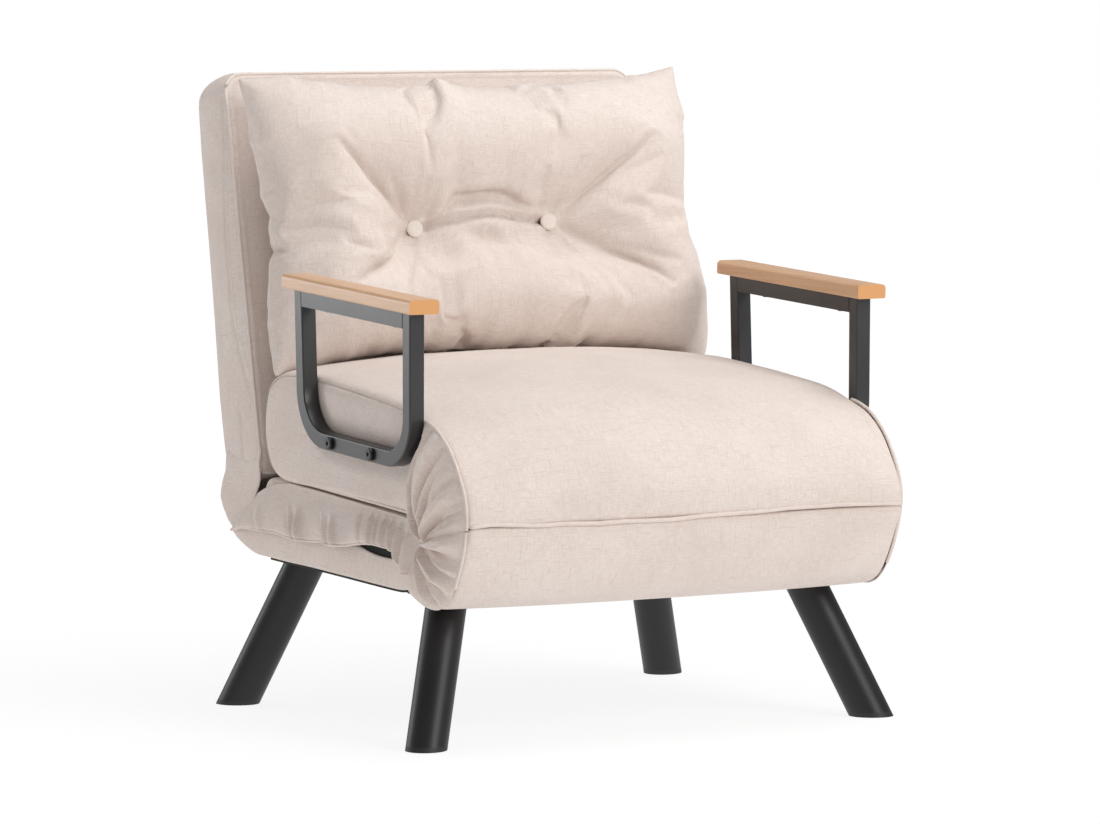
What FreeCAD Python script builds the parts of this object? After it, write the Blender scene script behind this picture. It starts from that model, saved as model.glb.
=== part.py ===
import FreeCAD, Part
import math
import os
import re
import Sketcher

# Convertible chair bed. The seat section turns over about a hinge line at its front edge, the arm
# loops bolted to it become the bed's front legs, and the backrest lies down on ratchet hinges.
# Three frames are used. The deck frame starts at the front hinge and lies along the pitched base
# and seat, +Y to the back. The back frame starts at the recline pivot, +Z up along the backrest,
# +Y to its rear. The floor frame is the chair's own, origin on the floor at the middle.

sizes = {
    # Stance: front hinge line, pitch of the deck, recline pivot and angle of the backrest
    "front_hinge_y": -356.0,
    "front_hinge_height": 266.0,
    "deck_pitch": 3.0,
    "recline_pivot_y": 586.0,
    "recline_pivot_drop": 46.7,
    "back_recline": 11.1,
    # Widths: the seat's leads, the others keep their distance from it
    "seat_width": 600.0,
    "frame_inset": 32.0,
    "base_pad_inset": 4.0,
    "back_inset": 5.0,
    "arm_clearance": 2.0,
    "foot_overhang": 12.0,
    "pillow_overhang": 14.0,
    # Steel tube of the three frames
    "base_tube": 25.0,
    "tube": 20.0,
    "tube_wall": 1.5,
    "base_frame_width": "=seat_width - 2 * frame_inset",
    "base_frame_start": 60.0,
    "base_frame_end": 612.0,
    "base_frame_drop": 71.0,
    "seat_frame_start": 62.0,
    "seat_frame_end": 528.0,
    "seat_frame_level": 68.5,
    "back_frame_start": 52.0,
    "back_frame_end": 530.0,
    # Elastic webbing
    "strap_width": 50.0,
    "strap_thickness": 1.6,
    "strap_count": 5.0,
    # Clearances
    "running_gap": 0.3,
    "soft_gap": 0.5,
    "hole_gap": 0.05,
    "bolt_gap": 0.2,
    "floor_gap": 0.6,
    # Seat section
    "seat_length": 547.0,
    "seat_side_height": 138.0,
    "seat_crown": 20.0,
    "roll_depth": 100.0,
    "edge_inset": 8.0,
    "seat_shoulder": 24.0,
    "pad_split": 2.4,
    "seam_set_back": 1.5,
    # Base section
    "base_pad_width": "=seat_width - 2 * base_pad_inset",
    "base_pad_length": 534.0,
    "base_lip_bottom": 98.0,
    "cover_width": "=seat_width",
    "cover_end": 620.0,
    "cover_drop": 60.0,
    "cover_bottom": 98.0,
    "cover_thickness": 3.0,
    "dust_thickness": 1.2,
    # Side flaps of gathered cloth
    "flap_start": 120.0,
    "flap_end": 632.0,
    "flap_top": 6.0,
    "flap_bottom": 74.0,
    "flap_thickness": 2.0,
    "flap_fold": 3.5,
    "flap_folds": 9.0,
    # Backrest
    "back_width": "=seat_width - 2 * back_inset",
    "back_front": 43.0,
    "back_rear": 62.0,
    "back_start": 40.0,
    "back_end": 553.0,
    "back_corner": 38.0,
    "back_edge": 16.0,
    "back_swell": 1.5,
    "back_top_thickness": 74.0,
    # Pillow
    "pillow_width": "=seat_width + 2 * pillow_overhang",
    "pillow_height": 388.0,
    "pillow_start": 151.8,
    "pillow_seam": 118.5,
    "pillow_half": 73.5,
    "pillow_draw": 14.0,
    "pillow_seam_edge": 4.0,
    "tuft_spacing": 204.0,
    "tuft_depth": 42.0,
    "button_radius": 11.0,
    "button_thickness": 6.0,
    "button_seat": 4.0,
    # Legs
    "foot_spread": "=seat_width + 2 * foot_overhang",
    "front_foot_y": -271.0,
    "rear_foot_y": 246.0,
    "leg_splay": 0.36,
    "leg_radius": 25.0,
    "leg_wall": 1.8,
    "cap_height": 6.0,
    "cap_plug": 22.0,
    "leg_plate_width": 70.0,
    "leg_plate_length": 88.0,
    "leg_plate": 3.0,
    "leg_bolt_radius": 3.0,
    "leg_bolt_head": 5.5,
    # Arm loops
    "arm_inner_width": "=seat_width + 2 * arm_clearance",
    "arm_wood_width": 40.0,
    "arm_wood_thickness": 17.4,
    "arm_wood_start": 96.0,
    "arm_wood_end": 438.0,
    "arm_wood_edge": 5.0,
    "arm_loop_front": 107.0,
    "arm_loop_rear": 408.0,
    "arm_front_lean": 6.5,
    "arm_rear_lean": 16.0,
    "arm_front_corner": 60.0,
    "arm_rear_corner": 74.0,
    "arm_tube_edge": 2.0,
    "arm_bolt_front": 208.0,
    "arm_bolt_rear": 317.0,
    "arm_bolt_radius": 4.0,
    "arm_bolt_head": 8.0,
    "arm_bolt_head_thickness": 4.5,
    "arm_spacer_radius": 8.0,
    "arm_nut_radius": 6.5,
    "arm_nut_thickness": 6.0,
    "arm_screw_radius": 2.0,
    "arm_screw_head": 4.0,
    "arm_screw_depth": 12.0,
    "arm_screw_inset": 40.0,
    # Ratchet hinges of the backrest
    "plate": 4.0,
    "pivot_radius": 5.0,
    "pivot_head": 9.0,
    "pivot_head_thickness": 3.0,
    "ratchet_radius": 26.0,
    "ratchet_tooth_depth": 4.5,
    "ratchet_teeth": 7.0,
    "ratchet_tooth_angle": 15.0,
    "ratchet_first_angle": 165.0,
    "recline_arm_length": 170.0,
    "recline_arm_width": 26.0,
    "bracket_length": 110.0,
    "bracket_eye": 22.0,
    "pawl_offset_y": 46.0,
    "pawl_offset_z": 6.0,
    "pawl_pivot_radius": 3.0,
    # Hinges of the seat section
    "hinge_eye": 6.0,
    "hinge_pin_radius": 3.0,
    "hinge_pin_head": 5.0,
    "hinge_pin_head_thickness": 2.5,
    "hinge_leaf_bend": 60.0,
    "hinge_leaf_reach": 150.0,
    "hinge_leaf_width": 17.0,
}

os.makedirs("parts", exist_ok=True)
document = FreeCAD.newDocument("chair_bed")
sheet = document.addObject("Spreadsheet::Sheet", "Sizes")
for row, (name, amount) in enumerate(sizes.items(), start=1):
    sheet.set("A%d" % row, name)
    sheet.set("B%d" % row, str(amount))
    sheet.setAlias("B%d" % row, name)
document.recompute()

vector = FreeCAD.Vector
sides = (("left", -1), ("right", 1))
nodes = {}


# Names of sizes in a text become cells of the sheet
def formula(text):
    def cell(word):
        return "Sizes." + word.group() if word.group() in sizes else word.group()

    return re.sub(r"[a-z_]+", cell, text)


def size(text):
    return float(sheet.evalExpression(formula(text)))


def placement_text(x, y, z, turn, axis):
    spot = "create(<<vector>>; %s; %s; %s)" % (x, y, z)
    line = "create(<<vector>>; %s)" % axis
    return "create(<<placement>>; %s; create(<<rotation>>; %s; %s))" % (spot, line, turn)


deck = [placement_text("0", "front_hinge_y", "front_hinge_height", "deck_pitch", "1; 0; 0")]
lean_back = "-(deck_pitch + back_recline)"
back = deck + [placement_text("0", "recline_pivot_y", "-recline_pivot_drop", lean_back, "1; 0; 0")]
floor = [placement_text("0", "0", "0", "0", "1; 0; 0")]


# Puts an object at a point of a frame, turned about one of the frame's axes
def settle(thing, frame, x="0", y="0", z="0", turn="0", axis="1; 0; 0"):
    steps = frame + [placement_text(x, y, z, turn, axis)]
    thing.setExpression("Placement", formula(" * ".join(steps)))
    return thing


# Marks an object as a sub-part of its own
def keep(thing, label):
    thing.Label = label
    nodes[label] = thing
    return thing


def new_body(name):
    return document.addObject("PartDesign::Body", name)


def origin_part(body, role):
    return [part for part in body.Origin.OriginFeatures if part.Role == role][0]


def new_sketch(body, role):
    sketch = body.newObject("Sketcher::SketchObject", body.Name + "_sketch")
    sketch.AttachmentSupport = (origin_part(body, role), [""])
    sketch.MapMode = "FlatFace"
    return sketch


# Holds a sketch point at two bound distances from the origin
def pin(sketch, geometry, end, x, y):
    for kind, text in (("DistanceX", x), ("DistanceY", y)):
        index = sketch.addConstraint(Sketcher.Constraint(kind, -1, 1, geometry, end, size(text)))
        sketch.setExpression("Constraints[%d]" % index, formula(text))


# Draws a closed outline through corners (x, y) or, rounded, (x, y, radius)
def trace(sketch, corners):
    spots = [vector(size(corner[0]), size(corner[1]), 0) for corner in corners]
    count = len(corners)
    ends = []
    for i, corner in enumerate(corners):
        if len(corner) == 2:
            ends.append((spots[i], spots[i]))
            continue
        behind = (spots[i - 1] - spots[i]).normalize()
        ahead = (spots[(i + 1) % count] - spots[i]).normalize()
        reach = size(corner[2]) / math.tan(behind.getAngle(ahead) / 2)
        ends.append((spots[i] + behind * reach, spots[i] + ahead * reach))
    lines = []
    for i in range(count):
        lines.append(sketch.addGeometry(Part.LineSegment(ends[i][1], ends[(i + 1) % count][0])))
    for i, corner in enumerate(corners):
        before, after = lines[i - 1], lines[i]
        if len(corner) == 2:
            sketch.addConstraint(Sketcher.Constraint("Coincident", before, 2, after, 1))
            pin(sketch, after, 1, corner[0], corner[1])
            continue
        behind = (ends[i][0] - spots[i]).normalize()
        ahead = (ends[i][1] - spots[i]).normalize()
        half = behind.getAngle(ahead) / 2
        radius = size(corner[2])
        inward = (behind + ahead).normalize() * (radius / math.sin(half) - radius)
        arc = sketch.addGeometry(Part.Arc(ends[i][0], spots[i] + inward, ends[i][1]))
        near = 1 if (sketch.getPoint(arc, 1) - ends[i][0]).Length < radius / 100 else 2
        sketch.addConstraint(Sketcher.Constraint("Tangent", before, 2, arc, near))
        sketch.addConstraint(Sketcher.Constraint("Tangent", arc, 3 - near, after, 1))
        mark = sketch.addGeometry(Part.Point(spots[i]), True)
        sketch.addConstraint(Sketcher.Constraint("PointOnObject", mark, 1, before))
        sketch.addConstraint(Sketcher.Constraint("PointOnObject", mark, 1, after))
        index = sketch.addConstraint(Sketcher.Constraint("Radius", arc, radius))
        sketch.setExpression("Constraints[%d]" % index, formula(corner[2]))
        pin(sketch, mark, 1, corner[0], corner[1])


def ring(sketch, x, y, radius):
    circle = sketch.addGeometry(Part.Circle(vector(size(x), size(y), 0), vector(0, 0, 1), size(radius)))
    pin(sketch, circle, 3, x, y)
    index = sketch.addConstraint(Sketcher.Constraint("Radius", circle, size(radius)))
    sketch.setExpression("Constraints[%d]" % index, formula(radius))


def pad(body, sketch, length):
    feature = body.newObject("PartDesign::Pad", body.Name + "_pad")
    feature.Profile = sketch
    feature.SideType = "Symmetric"
    feature.setExpression("Length", formula(length))
    return feature


# Cuts a sketch out of the body on both sides of its plane and makes sure that it did cut
def pocket(body, sketch, length):
    document.recompute()
    before = body.Shape.Volume
    feature = body.newObject("PartDesign::Pocket", body.Name + "_pocket")
    feature.Profile = sketch
    feature.SideType = "Symmetric"
    feature.setExpression("Length", formula(length))
    document.recompute()
    assert body.Shape.Volume < before, body.Name
    return feature


def round_edges(body, feature, wanted, radius):
    document.recompute()
    edges = ["Edge%d" % n for n, edge in enumerate(feature.Shape.Edges, start=1) if wanted(edge)]
    fillet = body.newObject("PartDesign::Fillet", body.Name + "_rounded")
    fillet.Base = (feature, edges)
    fillet.setExpression("Radius", formula(radius))
    return fillet


# A square tube with open ends, centred on the origin of its frame point
def square_tube(name, role, outer, length):
    body = new_body(name)
    sketch = new_sketch(body, role)
    for half in ("((%s) / 2)" % outer, "((%s) / 2 - tube_wall)" % outer):
        trace(sketch, [("-" + half, "-" + half), (half, "-" + half), (half, half), ("-" + half, half)])
    pad(body, sketch, length)
    return body


# A flat plate lying in the YZ plane, centred on it, with round holes
def plate(name, corners, thickness, holes=()):
    body = new_body(name)
    sketch = new_sketch(body, "YZ_Plane")
    trace(sketch, corners)
    for hole in holes:
        ring(sketch, *hole)
    pad(body, sketch, thickness)
    return body


# A piece turned about the X axis from its half profile (along the axis, radius)
def turned(name, corners):
    body = new_body(name)
    sketch = new_sketch(body, "XY_Plane")
    trace(sketch, corners)
    feature = body.newObject("PartDesign::Revolution", name + "_turn")
    feature.Profile = sketch
    feature.ReferenceAxis = (sketch, ["H_Axis"])
    feature.Angle = 360
    return body


# A box between two corners of a frame
def block(name, frame, low, high):
    box = document.addObject("Part::Box", name)
    for prop, start, end in zip(("Length", "Width", "Height"), low, high):
        box.setExpression(prop, formula("(%s) - (%s)" % (end, start)))
    return settle(box, frame, *low)


def rod(name, frame, radius, start, length, turn="90", axis="0; 1; 0"):
    cylinder = document.addObject("Part::Cylinder", name)
    cylinder.setExpression("Radius", formula(radius))
    cylinder.setExpression("Height", formula(length))
    return settle(cylinder, frame, *start, turn=turn, axis=axis)


def group(label, members):
    compound = document.addObject("Part::Compound", label)
    compound.Links = members
    return keep(compound, label)


def cut_away(label, base, tools):
    joined = tools[0]
    if len(tools) > 1:
        joined = document.addObject("Part::MultiFuse", label + "_room")
        joined.Shapes = tools
    result = document.addObject("Part::Cut", label)
    result.Base = base
    result.Tool = joined
    return keep(result, label)


# One section of a soft form at a distance across: arcs are (via, end) and lines (end,)
def section(across, start, *steps):
    edges = []
    here = vector(across, *start)
    for step in steps:
        there = vector(across, *step[-1])
        if len(step) == 1:
            edges.append(Part.LineSegment(here, there).toShape())
        else:
            edges.append(Part.Arc(here, vector(across, *step[0]), there).toShape())
        here = there
    return Part.Wire(edges)


def soft_form(name, sections, frame):
    feature = document.addObject("Part::Feature", name)
    feature.Shape = Part.makeLoft(sections, True, False)
    return settle(feature, frame)


# Distances across a pad from its left side to its right, with how far the form draws in there
def stations(width, inset):
    shares = ((1.0, 1.0), (0.985, 0.35), (0.95, 0.0), (0.7, 0.0), (0.35, 0.0), (0.0, 0.0))
    half = width / 2
    left = [(-half * share, inset * part) for share, part in shares]
    return left + [(-across, drawn) for across, drawn in reversed(left[:-1])]


# Widths at which the layers at the sides follow one another, from the base frame outwards
base_face = "base_frame_width / 2"
bracket_middle = base_face + " + plate / 2"
moving_face = base_face + " + plate + running_gap"
leaf_middle = moving_face + " + plate / 2"
frame_width = "(base_frame_width + 2 * plate + 2 * running_gap)"
base_leaf_level = "-base_frame_drop - base_tube / 2"
seat_strap_level = "(seat_frame_level + tube / 2 - strap_thickness)"


# Steel frames: rails along the sides and bars across, each a length of square tube
def make_base_frame():
    middle = "-base_frame_drop - base_tube / 2"
    length = "base_frame_end - base_frame_start"
    centre = "(base_frame_end + base_frame_start) / 2"
    for side, sign in sides:
        rail = square_tube("base_rail_" + side, "XZ_Plane", "base_tube", length)
        holes = new_sketch(rail, "XY_Plane")
        holes.AttachmentOffset = FreeCAD.Placement(vector(0, 0, -size("base_tube / 2")), FreeCAD.Rotation())
        holes.setExpression("AttachmentOffset.Base.z", formula("-base_tube / 2"))
        for y in leg_bolt_places():
            ring(holes, "0", "%s - (%s)" % (y, centre), "leg_bolt_radius + bolt_gap")
        pocket(rail, holes, "4 * tube_wall")
        settle(rail, deck, "%d * (base_frame_width - base_tube) / 2" % sign, centre, middle)
        keep(rail, "base_rail_" + side)
    places = {
        "front": "base_frame_start + base_tube / 2",
        "middle": centre,
        "rear": "base_frame_end - base_tube / 2",
    }
    for name, y in places.items():
        bar = square_tube("base_bar_" + name, "YZ_Plane", "base_tube", "base_frame_width - 2 * base_tube")
        keep(settle(bar, deck, "0", y, middle), "base_bar_" + name)


def make_seat_frame():
    centre = "(seat_frame_end + seat_frame_start) / 2"
    for side, sign in sides:
        rail = square_tube("seat_rail_" + side, "XZ_Plane", "tube", "seat_frame_end - seat_frame_start")
        holes = new_sketch(rail, "YZ_Plane")
        for bolt in ("arm_bolt_front", "arm_bolt_rear"):
            ring(holes, "%s - %s" % (bolt, centre), "0", "arm_bolt_radius + bolt_gap")
        pocket(rail, holes, "2 * tube")
        settle(rail, deck, "%d * (%s - tube) / 2" % (sign, frame_width), centre, "seat_frame_level")
        keep(rail, "seat_rail_" + side)
    places = {"front": "seat_frame_start + tube / 2", "rear": "seat_frame_end - tube / 2"}
    for name, y in places.items():
        bar = square_tube("seat_bar_" + name, "YZ_Plane", "tube", "%s - 2 * tube" % frame_width)
        keep(settle(bar, deck, "0", y, "seat_frame_level"), "seat_bar_" + name)


def make_back_frame():
    centre = "(back_frame_end + back_frame_start) / 2"
    for side, sign in sides:
        rail = square_tube("back_rail_" + side, "XY_Plane", "tube", "back_frame_end - back_frame_start")
        settle(rail, back, "%d * (%s - tube) / 2" % (sign, frame_width), "0", centre)
        keep(rail, "back_rail_" + side)
    places = {"bottom": "back_frame_start + tube / 2", "top": "back_frame_end - tube / 2"}
    for name, z in places.items():
        bar = square_tube("back_bar_" + name, "YZ_Plane", "tube", "%s - 2 * tube" % frame_width)
        keep(settle(bar, back, "0", "0", z), "back_bar_" + name)


# Elastic straps that carry the padding, spaced evenly between the bars of each frame
def make_webbing():
    count = int(size("strap_count"))
    inner = "%s / 2 - tube" % frame_width
    top = "(-base_frame_drop + strap_thickness / 2)"
    rows = (
        ("base_webbing", deck, "base_frame_start + base_tube", "base_frame_end - base_tube", top,
         base_face),
        ("seat_webbing", deck, "seat_frame_start + tube", "seat_frame_end - tube", seat_strap_level, inner),
        ("back_webbing", back, "back_frame_start + tube", "back_frame_end - tube", "0", inner),
    )
    for label, frame, first, last, level, wide in rows:
        straps = []
        for n in range(count):
            spot = "(%s) + ((%s) - (%s)) * %d / %d" % (first, last, first, n + 1, count + 1)
            low, high = "%s - strap_width / 2" % spot, "%s + strap_width / 2" % spot
            under, over = "%s - strap_thickness / 2" % level, "%s + strap_thickness / 2" % level
            if frame == back:
                corners = (("-(%s)" % wide, under, low), (wide, over, high))
            else:
                corners = (("-(%s)" % wide, low, under), (wide, high, over))
            straps.append(block("%s_%d" % (label, n + 1), frame, *corners))
        group(label, straps)


# Ratchet hinges: a bracket on the base rail, a toothed arm on the backrest, a rivet and a pawl
def make_recline_hinges():
    drop = "-base_frame_drop - base_tube + 2"
    eye = "bracket_eye"
    bracket = [
        ("-bracket_length", "%s + recline_pivot_drop" % drop),
        (eye, "%s + recline_pivot_drop" % drop),
        (eye, eye, "bracket_eye - 1"),
        ("-pawl_offset_y - 10", eye, "12"),
        ("-bracket_length", "2 - base_frame_drop + recline_pivot_drop", "6"),
    ]
    arm = "recline_arm_width / 2"
    moving = [
        ("-" + arm, "0"),
        (arm, "0"),
        (arm, "recline_arm_length", "recline_arm_width / 2 - 1"),
        ("-" + arm, "recline_arm_length", "recline_arm_width / 2 - 1"),
    ]
    nose = "-ratchet_radius - 2 * running_gap"
    pawl = [
        ("-pawl_offset_y - 7", "pawl_offset_z + 7", "6"),
        ("-pawl_offset_y - 7", "pawl_offset_z - 7", "6"),
        ("-pawl_offset_y + 4", "pawl_offset_z - 8", "4"),
        ("%s - 1" % nose, "-9", "1"),
        (nose, "-3", "1"),
        ("-pawl_offset_y + 8", "pawl_offset_z + 7", "6"),
    ]
    pawls, rivets = [], []
    for side, sign in sides:
        spot = (deck, "%d * (%s)" % (sign, bracket_middle), "recline_pivot_y", "-recline_pivot_drop")
        moving_spot = (deck, "%d * (%s)" % (sign, leaf_middle), "recline_pivot_y", "-recline_pivot_drop")
        holes = [
            ("0", "0", "pivot_radius + hole_gap"),
            ("-pawl_offset_y", "pawl_offset_z", "pawl_pivot_radius + hole_gap"),
        ]
        fixed = plate("recline_bracket_" + side, bracket, "plate", holes)
        keep(settle(fixed, *spot), "recline_bracket_" + side)

        swing = new_body("recline_arm_" + side)
        outline = new_sketch(swing, "YZ_Plane")
        trace(outline, moving)
        pad(swing, outline, "plate")
        disc = new_sketch(swing, "YZ_Plane")
        ring(disc, "0", "0", "ratchet_radius")
        pad(swing, disc, "plate")
        bore = new_sketch(swing, "YZ_Plane")
        ring(bore, "0", "0", "pivot_radius + hole_gap")
        pocket(swing, bore, "2 * plate")
        notch = new_sketch(swing, "YZ_Plane")
        first, tooth_end = "ratchet_first_angle", "ratchet_first_angle + ratchet_tooth_angle * 0.75"
        rim, root = "(ratchet_radius + 1)", "(ratchet_radius - ratchet_tooth_depth)"
        trace(notch, [
            ("%s * cos(%s)" % (rim, first), "%s * sin(%s)" % (rim, first)),
            ("%s * cos(%s)" % (root, first), "%s * sin(%s)" % (root, first)),
            ("%s * cos(%s)" % (rim, tooth_end), "%s * sin(%s)" % (rim, tooth_end)),
        ])
        gap = pocket(swing, notch, "2 * plate")
        teeth = swing.newObject("PartDesign::PolarPattern", swing.Name + "_teeth")
        teeth.Originals = [gap]
        teeth.Axis = (origin_part(swing, "X_Axis"), [""])
        teeth.setExpression("Occurrences", formula("ratchet_teeth"))
        teeth.setExpression("Angle", formula("(ratchet_teeth - 1) * ratchet_tooth_angle"))
        swing.Tip = teeth
        settle(swing, back, "%d * (%s)" % (sign, leaf_middle))
        keep(swing, "recline_arm_" + side)

        catch = plate("recline_pawl_" + side, pawl, "plate", holes[1:])
        pawls.append(settle(catch, *moving_spot))
        for name, radius, head, y, z in (
            ("pivot", "pivot_radius", "pivot_head", "0", "0"),
            ("stud", "pawl_pivot_radius", "pawl_pivot_radius + 2", "(-pawl_offset_y)", "pawl_offset_z"),
        ):
            rivet = headed_pin("recline_%s_%s" % (name, side), radius, head, "pivot_head_thickness")
            across = "%d * (%s)" % (sign, base_face)
            here = (across, "recline_pivot_y + %s" % y, "-recline_pivot_drop + %s" % z)
            turn = "0" if sign > 0 else "180"
            rivets.append(settle(rivet, deck, *here, turn=turn, axis="0; 0; 1"))
    group("recline_pawls", pawls)
    group("recline_rivets", rivets)


# Half profile of a rivet or pin whose shank takes the two plates, with a head at each end
def headed_pin(name, radius, head, thickness):
    stack = "2 * plate + 2 * running_gap"
    return turned(name, [
        ("-(%s)" % thickness, "0"),
        ("-(%s)" % thickness, head),
        ("0", head),
        ("0", radius),
        (stack, radius),
        (stack, head),
        ("%s + %s" % (stack, thickness), head),
        ("%s + %s" % (stack, thickness), "0"),
    ])


# Side outline of a hinge leaf from its eye to the rail that it is fixed to, up (1) or down (-1)
def leaf_outline(level, up, room="0"):
    eye = "(hinge_eye + %s)" % room
    near = "(%s) - %d * (hinge_leaf_width / 2 + %s)" % (level, up, room)
    far = "(%s) + %d * (hinge_leaf_width / 2 + %s)" % (level, up, room)
    return [
        ("-" + eye, "0"),
        (eye, "0"),
        ("hinge_leaf_bend + hinge_leaf_width", near, "hinge_leaf_width"),
        ("hinge_leaf_reach + " + room, near, "hinge_leaf_width / 3"),
        ("hinge_leaf_reach + " + room, far, "hinge_leaf_width / 3"),
        ("hinge_leaf_bend - hinge_eye", far, "hinge_leaf_width"),
    ]


# Leaf hinges at the front seam: one leaf on each frame's rail and a pin through both eyes
def make_front_hinges():
    leaves = (
        ("front_hinge_base_", base_leaf_level, -1, bracket_middle),
        ("front_hinge_seat_", "seat_frame_level", 1, leaf_middle),
    )
    pins = []
    for side, sign in sides:
        for label, level, up, middle in leaves:
            leaf = plate(label + side, leaf_outline(level, up), "plate")
            eye = new_sketch(leaf, "YZ_Plane")
            ring(eye, "0", "0", "hinge_eye")
            pad(leaf, eye, "plate")
            bore = new_sketch(leaf, "YZ_Plane")
            ring(bore, "0", "0", "hinge_pin_radius + hole_gap")
            pocket(leaf, bore, "2 * plate")
            keep(settle(leaf, deck, "%d * (%s)" % (sign, middle)), label + side)
        sizes_of_pin = ("hinge_pin_radius", "hinge_pin_head", "hinge_pin_head_thickness")
        hinge_pin = headed_pin("front_hinge_pin_" + side, *sizes_of_pin)
        turn = "0" if sign > 0 else "180"
        pins.append(settle(hinge_pin, deck, "%d * (%s)" % (sign, base_face), turn=turn, axis="0; 0; 1"))
    group("front_hinge_pins", pins)


# Arm loops: a bent square tube, a bar between its posts, a wooden rest and their fasteners
def make_arms():
    wood_low = "front_hinge_height - floor_gap - arm_wood_thickness"
    low = "seat_frame_level - tube / 2"
    middle = "(arm_inner_width + tube) / 2"
    outer = [
        ("arm_loop_front + arm_front_lean", wood_low),
        ("arm_loop_front", low, "arm_front_corner"),
        ("arm_loop_rear", low, "arm_rear_corner"),
        ("arm_loop_rear + arm_rear_lean", wood_low),
    ]
    inner = [
        ("arm_loop_rear + arm_rear_lean - tube", wood_low),
        ("arm_loop_rear - tube", low + " + tube", "arm_rear_corner - tube"),
        ("arm_loop_front + tube", low + " + tube", "arm_front_corner - tube"),
        ("arm_loop_front + arm_front_lean + tube", wood_low),
    ]
    bore = "(tube - tube_wall)"
    hollow_outer = [
        ("arm_loop_front + arm_front_lean + tube_wall", wood_low),
        ("arm_loop_front + tube_wall", low + " + tube_wall", "arm_front_corner - tube_wall"),
        ("arm_loop_rear - tube_wall", low + " + tube_wall", "arm_rear_corner - tube_wall"),
        ("arm_loop_rear + arm_rear_lean - tube_wall", wood_low),
    ]
    hollow_inner = [
        ("arm_loop_rear + arm_rear_lean - " + bore, wood_low),
        ("arm_loop_rear - " + bore, "%s + %s" % (low, bore), "arm_rear_corner - " + bore),
        ("arm_loop_front + " + bore, "%s + %s" % (low, bore), "arm_front_corner - " + bore),
        ("arm_loop_front + arm_front_lean + " + bore, wood_low),
    ]
    bolts = ("arm_bolt_front", "arm_bolt_rear")
    half = size("tube") / 2

    def runs_along(edge):
        return all(abs(abs(point.Point.x) - half) < 0.01 for point in edge.Vertexes)

    fasteners, spacers, nuts, wood_screws = [], [], [], []
    for side, sign in sides:
        loop = new_body("arm_frame_" + side)
        outline = new_sketch(loop, "YZ_Plane")
        trace(outline, outer + inner)
        solid = pad(loop, outline, "tube")
        round_edges(loop, solid, runs_along, "arm_tube_edge")
        hollow = new_sketch(loop, "YZ_Plane")
        trace(hollow, hollow_outer + hollow_inner)
        pocket(loop, hollow, "tube - 2 * tube_wall")
        holes = new_sketch(loop, "YZ_Plane")
        for bolt in bolts:
            ring(holes, bolt, "seat_frame_level", "arm_bolt_radius + bolt_gap")
        pocket(loop, holes, "2 * tube")
        keep(settle(loop, deck, "%d * (%s)" % (sign, middle)), "arm_frame_" + side)

        bar = new_body("arm_bar_" + side)
        lean = "(%s - 2 * tube - (%s)) / (%s - tube - (%s))" % (wood_low, low, wood_low, low)
        outline = new_sketch(bar, "YZ_Plane")
        trace(outline, [
            ("arm_loop_front + tube + arm_front_lean * %s" % lean, wood_low + " - tube"),
            ("arm_loop_rear - tube + arm_rear_lean * %s" % lean, wood_low + " - tube"),
            ("arm_loop_rear - tube + arm_rear_lean", wood_low),
            ("arm_loop_front + tube + arm_front_lean", wood_low),
        ])
        pad(bar, outline, "tube")
        hollow = new_sketch(bar, "XZ_Plane")
        across, up = "tube / 2 - tube_wall", wood_low + " - tube_wall"
        down = wood_low + " - tube + tube_wall"
        trace(hollow, [("-(%s)" % across, down), (across, down), (across, up), ("-(%s)" % across, up)])
        pocket(bar, hollow, "4 * arm_wood_end")
        screws = new_sketch(bar, "XY_Plane")
        for y in screw_places:
            ring(screws, "0", y, "arm_screw_radius + bolt_gap")
        pocket(bar, screws, "4 * arm_wood_end")
        keep(settle(bar, deck, "%d * (%s)" % (sign, middle)), "arm_bar_" + side)

        wood = new_body("arm_wood_" + side)
        outline = new_sketch(wood, "XZ_Plane")
        wide = "arm_wood_width / 2"
        trace(outline, [
            ("-" + wide, "0", "arm_wood_edge / 2"),
            (wide, "0", "arm_wood_edge / 2"),
            (wide, "arm_wood_thickness", "arm_wood_edge"),
            ("-" + wide, "arm_wood_thickness", "arm_wood_edge"),
        ])
        solid = pad(wood, outline, "arm_wood_end - arm_wood_start")
        screws = new_sketch(wood, "XY_Plane")
        for y in screw_places:
            ring(screws, "0", "%s - (arm_wood_end + arm_wood_start) / 2" % y, "arm_screw_radius + bolt_gap")
        pocket(wood, screws, "2 * arm_screw_depth")
        centre = "(arm_wood_end + arm_wood_start) / 2"
        keep(settle(wood, deck, "%d * (%s)" % (sign, middle), centre, wood_low), "arm_wood_" + side)

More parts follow.
